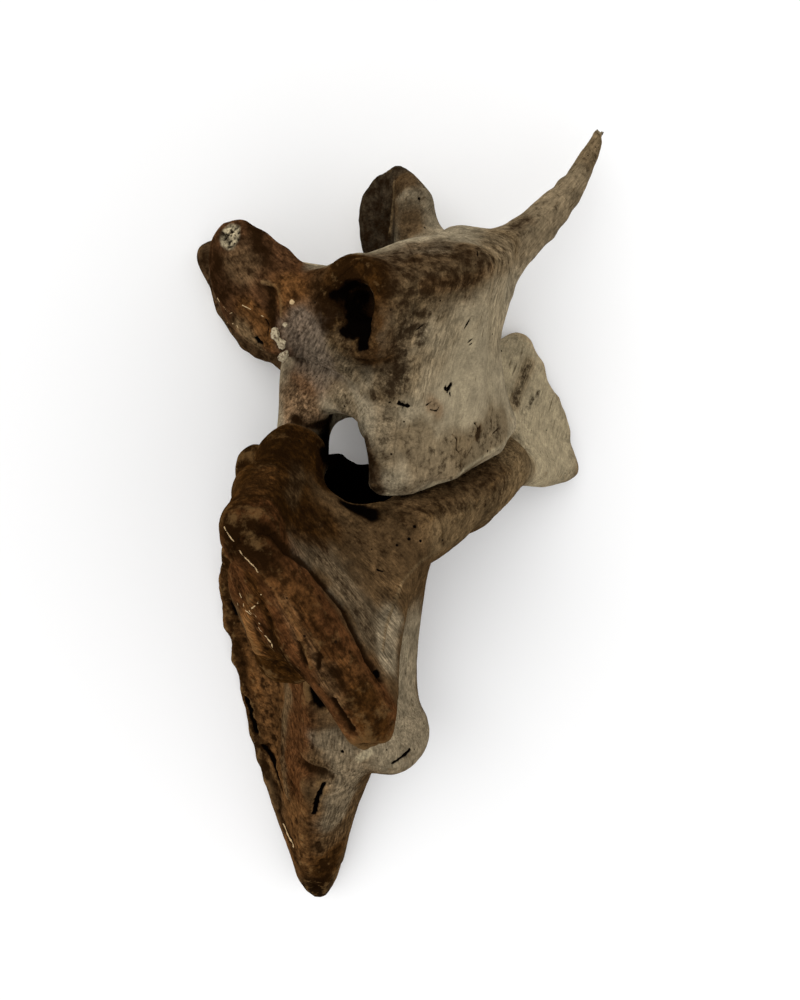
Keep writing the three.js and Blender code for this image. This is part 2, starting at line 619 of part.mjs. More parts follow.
const floorSpace = box([-300, -300, -100], [300, 300, 0], 0, new THREE.Matrix4());
const lumbarBone = toSolid(lumbarMesh, lumbarPlace).subtract(floorSpace);
const grown = (x, y, z) => {
  const inside = Math.max(y - JOINT_SPACE.front, JOINT_SPACE.low - z, z - JOINT_SPACE.high);
  return Math.max(lumbar(x, y, z) - JOINT_GAP, inside);
};
const jointMesh = relax(grown, polygonise(grown, [-24, -10, 4], [24, 12, 30], LUMBAR_STEP), LUMBAR_STEP);
const jointSpace = toSolid(jointMesh, lumbarPlace);
const sacrumBone = toSolid(sacrumMesh, restPlace).subtract(floorSpace).subtract(jointSpace);

const bones = {
  ...divide(lumbarBone, LUMBAR_CUTS, 'lumbar_body', lumbarPlace),
  ...divide(sacrumBone, SACRUM_CUTS, 'sacral_segment_1', restPlace),
};

const paleBone = new THREE.MeshStandardMaterial({ color: 0xaea48c, roughness: 0.72, metalness: 0 });
const brownBone = new THREE.MeshStandardMaterial({ color: 0x705c46, roughness: 0.62, metalness: 0 });
const PALE_PIECES = ['lumbar_body', 'left_transverse_process', 'left_sacral_wing', 'sacral_segment_2'];

const group = new THREE.Group();
group.name = 'deer lumbar vertebra on sacrum';

/** Mesh of three.js from a solid. */
function toMesh(name, solid) {
  const data = solid.getMesh();
  const geometry = new THREE.BufferGeometry();
  geometry.setAttribute('position', new THREE.BufferAttribute(Float32Array.from(data.vertProperties), 3));
  geometry.setIndex(new THREE.BufferAttribute(Uint32Array.from(data.triVerts), 1));
  geometry.computeVertexNormals();
  const mesh = new THREE.Mesh(geometry, PALE_PIECES.includes(name) ? paleBone : brownBone);
  mesh.name = name;
  return mesh;
}

Object.entries(bones).forEach(([name, solid]) => {
  group.add(toMesh(name, solid));
});

export default group;
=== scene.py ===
"""A deer's last lumbar vertebra lying in place on its sacrum, brown with age.

Places in the tables are millimetres in each bone's own frame, from the middle
of the joint between the two: x runs to the animal's right, y to its head and z
to its back.
"""

from __future__ import annotations

import json
import logging
import math
from dataclasses import dataclass
from enum import Enum

import bmesh
import bpy
import numpy as np
from mathutils import Matrix, Vector

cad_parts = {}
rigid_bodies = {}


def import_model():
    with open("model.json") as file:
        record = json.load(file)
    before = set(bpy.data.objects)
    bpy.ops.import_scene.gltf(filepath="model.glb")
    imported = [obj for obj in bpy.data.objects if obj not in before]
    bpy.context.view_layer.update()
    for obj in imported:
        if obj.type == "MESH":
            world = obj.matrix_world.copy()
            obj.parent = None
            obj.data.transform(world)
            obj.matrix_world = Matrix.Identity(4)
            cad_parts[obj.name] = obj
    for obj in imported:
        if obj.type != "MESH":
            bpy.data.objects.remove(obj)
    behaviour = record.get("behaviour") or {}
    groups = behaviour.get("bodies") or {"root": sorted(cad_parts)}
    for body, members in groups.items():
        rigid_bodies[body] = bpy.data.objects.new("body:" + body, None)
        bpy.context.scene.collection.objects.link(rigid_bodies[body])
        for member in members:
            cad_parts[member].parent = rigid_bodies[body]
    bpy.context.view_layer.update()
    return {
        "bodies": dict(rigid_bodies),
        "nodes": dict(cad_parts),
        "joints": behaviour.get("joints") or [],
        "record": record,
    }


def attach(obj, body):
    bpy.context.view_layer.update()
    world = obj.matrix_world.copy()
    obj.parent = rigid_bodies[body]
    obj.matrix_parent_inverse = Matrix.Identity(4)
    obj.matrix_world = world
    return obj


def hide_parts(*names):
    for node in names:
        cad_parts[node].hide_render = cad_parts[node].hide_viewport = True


log = logging.getLogger("bones")

METRE = 0.001

Place = tuple[float, float, float]
Line = tuple[Place, ...]
Colour = tuple[float, float, float, float]
Span = tuple[float, float]
Rows = np.ndarray
Mesh = bpy.types.Mesh
Thing = bpy.types.Object
Socket = bpy.types.NodeSocket


class Tint(Enum):
    """Broad colours of bone that lay in leaf litter and soil."""

    BONE = "#8f826a"
    CREAM = "#aa9c7e"
    TAN = "#69563c"
    OLIVE = "#503d27"
    OCHRE = "#654323"
    RUST = "#4e3019"
    BROWN = "#3c250d"
    DARK = "#1b0f05"
    LILAC = "#6b5d4e"


class Mark(Enum):
    """What else a place shows, kept as one number a vertex."""

    UMBER = "umber"
    BLACK = "black"
    CHALK_AND_GLINT = "chalk_and_glint"
    # soil in the hollows, and painted shade there as well
    SOIL_AND_SHADE = "soil_and_shade"
    WEAR = "wear"
    SPONGY = "spongy"
    FIBRE = "fibre"
    ROUGH = "rough"
    CLEAN = "clean"


Marks = dict[Mark, Rows]


def turned(turn: Place, shift: Place) -> Matrix:
    """Gives the matrix of a turn about x, y and z, then a shift.

    Args:
        turn: degrees about x, y and z, the x turn outermost.
        shift: how far the origin moves.

    Returns:
        The matrix.
    """
    spin = Matrix.Identity(4)
    for angle, axis in zip(turn, "XYZ"):
        spin = spin @ Matrix.Rotation(math.radians(angle), 4, axis)
    return Matrix.Translation(shift) @ spin


SACRUM_PLACE = turned((-161.501, -51.973, -174.853), (2.168, 18.845, 32.235))
LUMBAR_PLACE = SACRUM_PLACE @ turned((12.0, -10.1, -1.0), (-0.8, 2.1, 1.8))


def linear(tint: str) -> Colour:
    """Turns an sRGB hex colour to the linear colour that a socket takes.

    Args:
        tint: such as "#8a7c63".

    Returns:
        Red, green, blue and one.
    """
    parts = [int(tint[i : i + 2], 16) / 255 for i in (1, 3, 5)]
    bright = [c / 12.92 if c <= 0.04045 else ((c + 0.055) / 1.055) ** 2.4 for c in parts]
    return (*bright, 1.0)


def add_node(
    tree: bpy.types.NodeTree, kind: str, settings: dict | None = None, links: dict | None = None
) -> bpy.types.Node:
    """Adds a node with its settings and links.

    Args:
        tree: the tree that it goes in.
        kind: the node's type.
        settings: its own options by name, and its sockets by number.
        links: the output that feeds each socket, by number or name.

    Returns:
        The node.
    """
    node = tree.nodes.new(kind)
    for key, value in (settings or {}).items():
        if isinstance(key, int):
            node.inputs[key].default_value = value
        else:
            setattr(node, key, value)
    for key, source in (links or {}).items():
        tree.links.new(source, node.inputs[key])
    return node


def linked(name: str, data: bpy.types.ID) -> Thing:
    """Puts an object of the data in the scene."""
    piece = bpy.data.objects.new(name, data)
    bpy.context.scene.collection.objects.link(piece)
    return piece


def meshed(name: str, work: bmesh.types.BMesh) -> Thing:
    """Puts an object of the faces in the scene, and frees them."""
    mesh = bpy.data.meshes.new(name)
    work.to_mesh(mesh)
    work.free()
    return linked(name, mesh)


def numbers(rows: bpy.types.bpy_prop_collection, key: str, wide: int, kind: type) -> Rows:
    """Reads one property of all rows of a mesh."""
    flat = np.empty(len(rows) * wide, kind)
    rows.foreach_get(key, flat)
    return flat.reshape(-1, wide)


def smooth(mesh: Mesh) -> None:
    """Shades every face smoothly."""
    mesh.polygons.foreach_set("use_smooth", np.ones(len(mesh.polygons), bool))


@dataclass(frozen=True)
class Weave:
    """The nodes of one material, each kind by one method that gives its output."""

    tree: bpy.types.NodeTree

    def node(self, kind: str, settings: dict, links: dict, output: int = 0) -> Socket:
        """Adds a node and gives one of its outputs."""
        return add_node(self.tree, kind, settings, links).outputs[output]

    def place(self) -> Socket:
        """Gives the place on the bone in millimetres."""
        here = add_node(self.tree, "ShaderNodeTexCoord").outputs["Object"]
        return self.node("ShaderNodeMapping", {3: (1 / METRE,) * 3}, {0: here})

    def read(self, name: str, output: str = "Fac") -> Socket:
        """Gives an attribute of the skin."""
        return add_node(self.tree, "ShaderNodeAttribute", {"attribute_name": name}).outputs[output]

    def noise(self, place: Socket, width: float, detail: float, rough: float = 0.5) -> Socket:
        """Gives noise with lumps up to a width in millimetres."""
        return self.node("ShaderNodeTexNoise", {2: 1 / width, 3: detail, 4: rough}, {0: place})

    def ramp(
        self, source: Socket, read: Span, given: Span = (0.0, 1.0), kind: str = "LINEAR"
    ) -> Socket:
        """Spreads the range read over the range given and clamps what lies beyond."""
        settings = dict(zip((1, 2, 3, 4), (*read, *given))) | {"interpolation_type": kind}
        return self.node("ShaderNodeMapRange", settings, {0: source})

    def add(self, source: Socket, factor: float, other: Socket) -> Socket:
        """Gives a source times a factor, with another source added."""
        links = {0: source, 2: other}
        return self.node("ShaderNodeMath", {"operation": "MULTIPLY_ADD", 1: factor}, links)

    def maths(self, kind: str, first: Socket, second: Socket) -> Socket:
        """Gives the result of one operation on two sources."""
        return self.node("ShaderNodeMath", {"operation": kind}, {0: first, 1: second})

    def blend(
        self, share: Socket, under: Socket | str, over: Socket | str, kind: str = "MIX"
    ) -> Socket:
        """Lays one colour over another.

        Args:
            share: how much of the upper colour shows.
            under: the lower colour, an output or an sRGB hex.
            over: the upper colour, an output or an sRGB hex.
            kind: how the two meet.

        Returns:
            The new colour.
        """
        settings, links = {"data_type": "RGBA", "blend_type": kind}, {0: share}
        for socket, colour in ((6, under), (7, over)):
            if isinstance(colour, str):
                settings[socket] = linear(colour)
            else:
                links[socket] = colour
        return self.node("ShaderNodeMix", settings, links, 2)


@dataclass(frozen=True)
class Grit:
    """Smooth noise in space that is the same on each run."""

    seed: int
    primes: tuple[int, int, int] = (73856093, 19349663, 83492791)
    seed_step: int = 7919
    stirs: tuple[tuple[int, int], ...] = ((13, 1274126177), (16, 668265263))
    layer_shift: float = 17.3
    layer_sum: float = 1.5

    def at(self, places: Rows, size: float) -> Rows:
        """Gives a value from -1 to 1 for each point, in lumps of one size."""
        scaled = places / size
        cell = np.floor(scaled).astype(np.int64)
        part = scaled - cell
        ease = part * part * (3 - 2 * part)
        total = np.zeros(len(places))
        for corner in range(8):
            step = np.array([corner & 1, corner >> 1 & 1, corner >> 2 & 1])
            key = (cell + step) @ np.array(self.primes) + self.seed * self.seed_step
            for shift, factor in self.stirs:
                key = (key ^ (key >> shift)) * factor & 0xFFFFFFFF
            total += (key / 0x7FFFFFFF - 1) * np.prod(np.where(step, ease, 1 - ease), axis=1)
        return total

    def rough(self, places: Rows, size: float, layers: int = 3) -> Rows:
        """Adds finer and finer noise, each layer half of the one before."""
        sizes = (self.at(places + self.layer_shift * n, size / 2**n) / 2**n for n in range(layers))
        return sum(sizes) / self.layer_sum


@dataclass(frozen=True)
class Scar:
    """A hollow, groove, ridge or stain along a line of places, or at one place."""

    line: Line
    width: float
    tint: Tint | None
    cover: float
    depth: float
    steep: float
    ragged: float
    marks: dict[Mark, float]
    farthest: float = 3.0
    lumps: Span = (0.9, 0.3)

    def distance(self, places: Rows) -> Rows:
        """Measures how far each point is from the line."""
        best = np.linalg.norm(places - np.array(self.line[0]), axis=1)
        for start, end in zip(self.line, self.line[1:]):
            a, along = np.array(start), np.array(end) - np.array(start)
            share = np.clip((places - a) @ along / (along @ along), 0, 1)
            best = np.minimum(best, np.linalg.norm(places - a - share[:, None] * along, axis=1))
        return best

    def reach(self, places: Rows, grit: Grit) -> Rows:
        """Gives how strongly it works at each point.

        Args:
            places: one row a point.
            grit: breaks its border.

        Returns:
            One on the line, falling to nothing outside it.
        """
        away = self.distance(places) / self.width
        near = away < self.farthest
        lumps = grit.rough(places[near], self.width * self.lumps[0] + self.lumps[1])
        share = np.zeros(len(places))
        share[near] = np.exp(-(np.abs(away[near] * (1 + self.ragged * lumps)) ** self.steep))
        return share


def scar(
    line: Line,
    width: float,
    tint: Tint | None = None,
    cover: float = 0.85,
    depth: float = 0.0,
    steep: float = 2.5,
    ragged: float = 0.3,
    **marks: float,
) -> Scar:
    """Makes a scar.

    Args:
        line: the places that it runs through.
        width: how far it reaches to each side.
        tint: its broad colour, if it has one.
        cover: how much of the colour shows.
        depth: its height, below nothing for a hollow.
        steep: how suddenly it ends.
        ragged: how broken its border is.
        marks: the strength of each mark, by the mark's value.

    Returns:
        The scar.
    """
    named = {Mark(name): strength for name, strength in marks.items()}
    return Scar(line, width, tint, cover, depth, steep, ragged, named)


def fine_scars(mark: Mark, rows: tuple[tuple, ...]) -> list[Scar]:
    """Makes a scar of each row's width, depth, strength, raggedness and line."""
    return [
        scar(line, width, depth=depth, ragged=ragged, **{mark.value: strength})
        for width, depth, strength, ragged, line in rows
    ]


@dataclass(frozen=True)
class Fibres:
    """Which way the bone's fibres run around one place."""

    centre: Place
    along: Place


@dataclass(frozen=True)
class Relief:
    """Widths and heights of the small forms on a bone, in millimetres.

    Each shift reads another part of the noise, so that no two forms agree.
    """

    wave_width: float = 5.0
    wave_height: float = 0.1
    dimple_width: float = 1.4
    dimple_height: float = 0.045
    dimple_shift: float = 40.0
    fibre_width: float = 0.9
    fibre_height: float = 0.09
    fibre_stretch: float = 0.86
    knob_width: float = 2.6
    knob_height: float = 0.4
    knob_shift: float = 9.0
    furrow_width: float = 1.1
    furrow_height: float = 0.3
    pore_width: float = 0.5
    pore_depth: float = 0.35
    pore_shift: float = 70.0
    pore_edge: float = 4.0
    pore_wall: float = 0.3


@dataclass(frozen=True)
class Weather:
    """How dark the hollows go, from soil and painted shade, and how far the edges are rubbed."""

    near_rounds: int = 8
    far_rounds: int = 90
    # darkening in small pits and wide dips: soil, and painted shade
    soil_and_shade_in_pits: float = 7.0
    soil_and_shade_in_dips: float = 0.55
    wear_on_edges: float = 8.0
    wear_start: float = 0.12
    wear_most: float = 0.8


@dataclass
class BoneSkin:
    """One bone's whole surface, worked from its solids."""

    name: str
    nodes: tuple[str, ...]
    place: Matrix
    slot: str
    voxel: float
    ground: Tint
    scars: tuple[Scar, ...]
    fibres: tuple[Fibres, ...]
    swell: float = 0.3
    relax_rounds: int = 90
    relax_back: float = 0.52
    relief: Relief = Relief()
    weather: Weather = Weather()
    grit: Grit = Grit(5)
    tint_reach: float = 1.6
    fine_widths: tuple[float, ...] = (0.75, 0.27)
    fine_reach: float = 1.5
    fine_margin: float = 0.35
    fine_shown: float = 0.2
    shown_side: Place = (-0.2043, 0.248, 0.947)
    shown_rate: float = 4.0

    def cast(self, model: dict) -> Thing:
        """Joins copies of the frame's solids into one closed skin, in the bone's frame."""
        work = bmesh.new()
        for node in self.nodes:
            work.from_mesh(model["nodes"][node].data)
        bmesh.ops.remove_doubles(work, verts=work.verts, dist=1e-6)
        work.transform(self.place.inverted() @ Matrix.Scale(1 / METRE, 4))
        work.normal_update()
        for vert in work.verts:
            vert.co += vert.normal * self.swell
        piece = meshed(self.name, work)
        mesh = piece.data
        shell = piece.modifiers.new("shell", "REMESH")
        shell.mode = "VOXEL"
        shell.voxel_size = self.voxel
        graph = bpy.context.evaluated_depsgraph_get()
        whole = bpy.data.meshes.new_from_object(piece.evaluated_get(graph))
        piece.modifiers.clear()
        piece.data = whole
        whole.name = self.name
        bpy.data.meshes.remove(mesh)
        return piece

    def read(self, mesh: Mesh) -> Rows:
        """Gives the mesh's vertices, one row each."""
        return numbers(mesh.vertices, "co", 3, np.float32).astype(np.float64)

    def write(self, mesh: Mesh, points: Rows) -> Rows:
        """Puts the vertices back and gives their new normals, one row each."""
        mesh.vertices.foreach_set("co", points.astype(np.float32).ravel())
        mesh.update()
        return numbers(mesh.vertex_normals, "vector", 3, np.float32).astype(np.float64)

    def pairs(self, mesh: Mesh) -> Rows:
        """Gives the two vertices of each edge."""
        return numbers(mesh.edges, "vertices", 2, np.int32)

    def relaxed(self, points: Rows, edges: Rows, rounds: int, back: float = 0.0) -> Rows:
        """Draws each point towards the middle of its neighbours.

        Args:
            points: one row a vertex.
            edges: the two vertices of each edge.
            rounds: how many times.
            back: size of the step away that follows each, which keeps the volume.

        Returns:
            The new points.
        """
        first, second = edges.T
        count = np.bincount(edges.ravel(), minlength=len(points))[:, None]
        steps = (0.5, -back) if back else (0.5,)
        for step in steps * rounds:
            middle = np.zeros_like(points)
            for axis in range(3):
                middle[:, axis] = np.bincount(first, points[second, axis], len(points))
                middle[:, axis] += np.bincount(second, points[first, axis], len(points))
            points = points + step * (middle / count - points)
        return points

    def shown(self, normals: Rows) -> Rows:
        """Gives one where the skin faces the side that lies uppermost, and nothing beneath."""
        side = self.place.to_3x3().inverted() @ Vector(self.shown_side)
        return np.clip(normals @ np.array(side) * self.shown_rate + 1, 0, 1)

    def refine(self, mesh: Mesh, widest: float) -> None:
        """Splits the faces where narrow scars run, so that they come out sharp.

        Args:
            mesh: the bone's mesh.
            widest: scars up to this width are narrow.
        """
        points = self.read(mesh)
        normals = self.write(mesh, points)
        close = np.zeros(len(points), bool)
        for each in self.scars:
            narrow = each.width <= widest and (each.depth or each.marks)
            if narrow or Mark.SPONGY in each.marks:
                close |= each.distance(points) < each.width * self.fine_reach + self.fine_margin
        close &= self.shown(normals) > self.fine_shown
        work = bmesh.new()
        work.from_mesh(mesh)
        work.edges.ensure_lookup_table()
        chosen = [work.edges[i] for i in np.flatnonzero(close[self.pairs(mesh)].all(axis=1))]
        bmesh.ops.subdivide_edges(work, edges=chosen, cuts=1, use_grid_fill=True)
        work.to_mesh(mesh)
        work.free()

    def build(self, model: dict) -> Thing:
        """Makes the skin at its place from the loaded frame, and marks what is on it."""
        piece = self.cast(model)
        mesh = piece.data
        edges = self.pairs(mesh)
        points = self.relaxed(self.read(mesh), edges, self.relax_rounds, self.relax_back)
        normals = self.write(mesh, points)
        self.write(mesh, points - normals * self.swell)
        for widest in self.fine_widths:
            self.refine(mesh, widest)
        self.carve(mesh)
        mesh.transform(Matrix.Scale(METRE, 4) @ self.place)
        for vert in mesh.vertices:
            vert.co.z = max(vert.co.z, 0)
        smooth(mesh)
        mesh.update()
        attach(piece, "root")
        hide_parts(*self.nodes)
        log.info("%s: %d faces", self.name, len(mesh.polygons))
        return piece

    def carve(self, mesh: Mesh) -> None:
        """Works the scars, the roughness and the colours into the skin in its own frame."""
        start = self.read(mesh)
        normals = self.write(mesh, start)
        shown = self.shown(normals)
        marks = {mark: np.zeros(len(start)) for mark in Mark}
        tone = np.tile(np.array(linear(self.ground.value)), (len(start), 1))
        moved = np.zeros(len(start))
        for each in self.scars:
            share = each.reach(start, self.grit) * shown
            moved += share * each.depth
            for mark, weight in each.marks.items():
                marks[mark] = np.maximum(marks[mark], share * weight)
            if each.tint:
                over = np.clip(share * self.tint_reach, 0, 1)[:, None] * each.cover
                tone += (np.array(linear(each.tint.value)) - tone) * over
        grain = self.grain(start)
        moved += self.roughen(start, grain, marks)
        self.soil_and_shade(mesh, start + normals * moved[:, None], marks)
        layers = [(mark.value, "FLOAT", "value", np.clip(marks[mark], 0, 1)) for mark in Mark]
        layers.append(("tone", "FLOAT_COLOR", "color", tone))
        layers.append(("grain", "FLOAT_VECTOR", "vector", grain))
        for name, kind, key, rows in layers:
            layer = mesh.attributes.new(name, kind, "POINT")
            layer.data.foreach_set(key, rows.astype(np.float32).ravel())

    def roughen(self, start: Rows, grain: Rows, marks: Marks) -> Rows:
        """Gives the height of the small forms, and breaks the spongy mark into pores."""
        grit, form = self.grit, self.relief
        height = form.wave_height * grit.rough(start, form.wave_width)
        height += form.dimple_height * grit.rough(start + form.dimple_shift, form.dimple_width)
        height += form.fibre_height * marks[Mark.FIBRE] * grit.rough(grain, form.fibre_width)
        knobs = form.knob_height * grit.rough(start + form.knob_shift, form.knob_width)
        furrows = form.furrow_height * np.abs(grit.rough(start, form.furrow_width))
        height += marks[Mark.ROUGH] * (knobs - furrows)
        pores = form.pore_edge * grit.rough(start + form.pore_shift, form.pore_width, 2)
        marks[Mark.SPONGY] *= np.clip(pores - form.pore_wall, 0, 1)
        return height - form.pore_depth * marks[Mark.SPONGY]

    def soil_and_shade(self, mesh: Mesh, points: Rows, marks: Marks) -> None:
        """Sets the carved points, and marks soil and painted shade in the hollows and wear on the
        edges.
        """
        normals = self.write(mesh, points)
        edges = self.pairs(mesh)
        rule = self.weather
        near = self.relaxed(points, edges, rule.near_rounds)
        far = self.relaxed(points, edges, rule.far_rounds)
        bulge = ((points - near) * normals).sum(1)
        rise = ((points - far) * normals).sum(1)
        # soil and painted shade: darker where the skin lies below its smoothed copies
        soil_and_shade = np.clip(-bulge * rule.soil_and_shade_in_pits - rise * rule.soil_and_shade_in_dips, 0, 1)
        wear = np.clip(bulge * rule.wear_on_edges - rule.wear_start, 0, 1) * rule.wear_most
        marks[Mark.SOIL_AND_SHADE] = np.maximum(marks[Mark.SOIL_AND_SHADE], soil_and_shade)
        marks[Mark.WEAR] = np.maximum(marks[Mark.WEAR], wear)

    def grain(self, points: Rows) -> Rows:
        """Gives the points' places, stretched along the bone's fibres."""
        away = np.stack([np.linalg.norm(points - np.array(f.centre), axis=1) for f in self.fibres])
        ways = np.array([f.along for f in self.fibres])
        way = (ways / np.linalg.norm(ways, axis=1)[:, None])[away.argmin(axis=0)]
        return points - self.relief.fibre_stretch * (points * way).sum(1)[:, None] * way


@dataclass(frozen=True)
class Stain:
    """A colour over the bone where a mark and a mottle agree."""

    mark: Mark
    tint: str
    lump: float
    ragged: float
    soft: float
    strength: float = 1.0
    detail: float = 7.0
    rough: float = 0.68

    def lay(self, weave: Weave, place: Socket, under: Socket) -> Socket:
        """Lays it over a colour, with its mottle read at a place."""
        lumps = weave.noise(place, self.lump, self.detail, self.rough)
        both = weave.add(lumps, self.ragged, weave.read(self.mark.value))
        middle = 0.5 + self.ragged / 2
        edge = (middle - self.soft, middle + self.soft)
        share = weave.ramp(both, edge, (0.0, self.strength), "SMOOTHSTEP")
        return weave.blend(share, under, self.tint)


@dataclass(frozen=True)
class Mottle:
    """Noise that changes the colour, with the values that the span's ends give."""

    width: float
    detail: float
    rough: float
    shades: Span
    span: Span = (0.3, 0.7)

    def noise(self, weave: Weave, place: Socket) -> Socket:
        """Gives its noise."""
        return weave.noise(place, self.width, self.detail, self.rough)

    def lay(self, weave: Weave, noise: Socket, share: Socket, under: Socket) -> Socket:
        """Multiplies a colour by its shades, as strongly as the share says."""
        return weave.blend(share, under, weave.ramp(noise, self.span, self.shades), "MULTIPLY")


@dataclass(frozen=True)
class BoneFinish:
    """Old cortical bone, cleaned by soil and rain: dry, matt and stained brown.

    The broad colour comes from the skin and varies at three sizes. Stains lie
    on top with ragged borders, the hollows darken with soil and painted shade
    and the edges are rubbed light. Fibre streaks, dark strokes and vessel pits run along it.
    """

    name: str
    stains: tuple[Stain, ...]
    roughness: float = 0.65
    gloss: float = 0.0
    clean_noise: float = 0.42
    lumps: tuple[Mottle, ...] = (
        Mottle(6.5, 5.0, 0.6, (0.52, 1.44)),
        Mottle(1.5, 5.0, 0.62, (0.5, 1.46)),
        Mottle(0.4, 4.0, 0.7, (0.64, 1.36)),
    )
    streak: Mottle = Mottle(0.3, 4.0, 0.6, (0.76, 1.23))
    combed: Mottle = Mottle(0.3, 4.0, 0.6, (0.5, 1.5), (0.36, 0.62))
    stroke: Mottle = Mottle(0.55, 3.0, 0.6, (0.0, 0.6), (0.63, 0.7))
    stroke_tint: str = "#33230f"
    pit_spacing: float = 1.7
    pit_chance: float = 0.55
    pit_size: float = 0.12
    pit_edge: float = 0.04
    pit_tint: str = "#1c120a"
    fine_width: float = 0.35
    streak_height: float = 0.7
    pit_height: float = -0.8
    bump_strength: float = 0.85
    bump_height: float = 0.0003

    def make(self) -> bpy.types.Material:
        """Builds the material."""
        material = bpy.data.materials.new(self.name)
        material.use_nodes = True
        tree = material.node_tree
        tree.nodes.clear()
        weave = Weave(tree)
        place = weave.place()
        along = weave.read("grain", "Vector")
        streak = self.streak.noise(weave, along)
        colour = self.stroked(weave, along, self.mottled(weave, place, streak))
        for stain in self.stains:
            colour = stain.lay(weave, place, colour)
        pit = weave.maths("MAXIMUM", self.pits(weave, place), weave.read(Mark.SPONGY.value))
        colour = weave.blend(pit, colour, self.pit_tint)
        raised = weave.add(streak, self.streak_height, weave.noise(place, self.fine_width, 4.0))
        relief = {"Height": weave.add(pit, self.pit_height, raised)}
        bump = weave.node("ShaderNodeBump", {0: self.bump_strength, 1: self.bump_height}, relief)
        links = {0: colour, "Normal": bump}
        shader = add_node(tree, "ShaderNodeBsdfPrincipled", {2: self.roughness}, links)
        shader.inputs["Specular IOR Level"].default_value = self.gloss
        add_node(tree, "ShaderNodeOutputMaterial", None, {0: shader.outputs[0]})
        return material

    def mottled(self, weave: Weave, place: Socket, streak: Socket) -> Socket:
        """Varies the skin's broad colour, less where the bone is clean."""
        force = weave.ramp(weave.read(Mark.CLEAN.value), (0.0, 1.0), (1.0, self.clean_noise))
        colour = weave.read("tone", "Color")
        for lump in self.lumps:
            colour = lump.lay(weave, lump.noise(weave, place), force, colour)
        colour = self.streak.lay(weave, streak, force, colour)
        return self.combed.lay(weave, streak, weave.read(Mark.FIBRE.value), colour)

    def stroked(self, weave: Weave, along: Socket, under: Socket) -> Socket:
        """Draws short dark strokes along the fibres."""
        share = weave.ramp(self.stroke.noise(weave, along), self.stroke.span, self.stroke.shades)
        return weave.blend(share, under, self.stroke_tint)

    def pits(self, weave: Weave, place: Socket) -> Socket:
        """Gives one inside the small vessel pits and nothing between them."""
        settings = {2: 1 / self.pit_spacing, 8: 1.0}
        cells = add_node(weave.tree, "ShaderNodeTexVoronoi", settings, {0: place})
        chance = weave.node("ShaderNodeSeparateColor", {}, {0: cells.outputs["Color"]})
        size = weave.ramp(chance, (self.pit_chance, 1.0), (0.0, self.pit_size))
        depth = weave.maths("SUBTRACT", size, cells.outputs["Distance"])
        return weave.ramp(depth, (0.0, self.pit_edge))


# Cracks, specks and pores of the lumbar vertebra: width, height, strength, raggedness and line
LUMBAR_CRACKS = (
    (0.8, -0.5, 1.2, 0.3, ((16.4, 21.6, -0.3), (16.8, 19.6, -0.2))),
    (0.14, -0.3, 0.7, 0.8, ((18.6, 21.8, 15), (18.7, 20.9, 14.6), (18.6, 19.7, 14.6))),
    (0.31, -0.4, 1.0, 1.2, ((17.9, 17.6, 16.7),)),
    (0.15, -0.3, 0.95, 0.6, ((3, 19.4, -6.2), (2, 21.2, -6.6))),
    (0.2, -0.2, 1.0, 0.3, ((3.6, 17.8, -5.9),)),
    (0.11, -0.2, 0.9, 0.6, ((2.3, 17.6, -6.3), (1.2, 18.4, -6.7))),
    (0.1, -0.2, 0.8, 0.6, ((2.6, 16.9, -6.2), (1.8, 17.4, -6.5))),
    (0.14, -0.2, 0.9, 0.3, ((3.4, 15.1, -5.9),)),
    (0.09, -0.15, 0.75, 0.6, ((6.3, 13.9, -5), (5.3, 14.9, -5.3))),
    (0.1, -0.15, 0.7, 0.6, ((1.6, 22.9, -6.8), (0.4, 24.3, -7.2))),
    (0.1, -0.15, 0.7, 0.6, ((5, 22, -6), (4.2, 23.2, -6.4))),
    (0.1, -0.15, 0.7, 0.6, ((-0.8, 21.6, -7.2), (-2, 23, -7.2))),
    (0.1, -0.2, 0.85, 0.5, ((-1.2, 19.8, -7), (-1.4, 15.8, -6.8))),
    (0.09, -0.15, 0.7, 0.5, ((-4.6, 18.1, -5.3), (-4.8, 15.3, -5.2))),
    (0.15, -0.2, 1.0, 0.3, ((6.9, 17.3, -4.9),)),
    (0.13, -0.2, 0.8, 0.6, ((10.4, 20.9, -4), (9.6, 21.4, -4.4))),
    (0.13, -0.2, 1.0, 0.3, ((-7.7, 20.8, -5),)),
    (0.3, -0.4, 1.1, 1.2, ((12.8, 11.5, -0.9),)),
    (0.26, -0.3, 1.1, 1.2, ((12.3, 11.3, -1.9), (11.4, 10.9, -2.9))),
    (0.38, -0.4, 1.1, 1.2, ((5.2, 12, -5.1), (4.8, 12.4, -5.2))),
    (0.12, -0.2, 0.95, 0.8, ((9.2, 10.6, -4.1), (8.4, 10.9, -4.3), (7.7, 11.7, -4.4))),
    (0.1, -0.2, 0.8, 0.8, ((8.7, 9.9, -4.4), (7.8, 9.5, -4.7), (7, 10.2, -4.8))),
    (0.13, -0.2, 1.0, 0.3, ((10.8, 5.6, -4.2),)),
    (0.1, -0.15, 0.8, 0.6, ((-5.2, 9, -5.8), (-5.8, 7.6, -5.9))),
    (0.14, -0.2, 0.8, 0.6, ((0, 29.2, -6.4), (0.8, 28.6, -6.9))),
    (0.31, -0.3, 1.0, 0.3, ((-13.9, 33.4, 12.8),)),
)

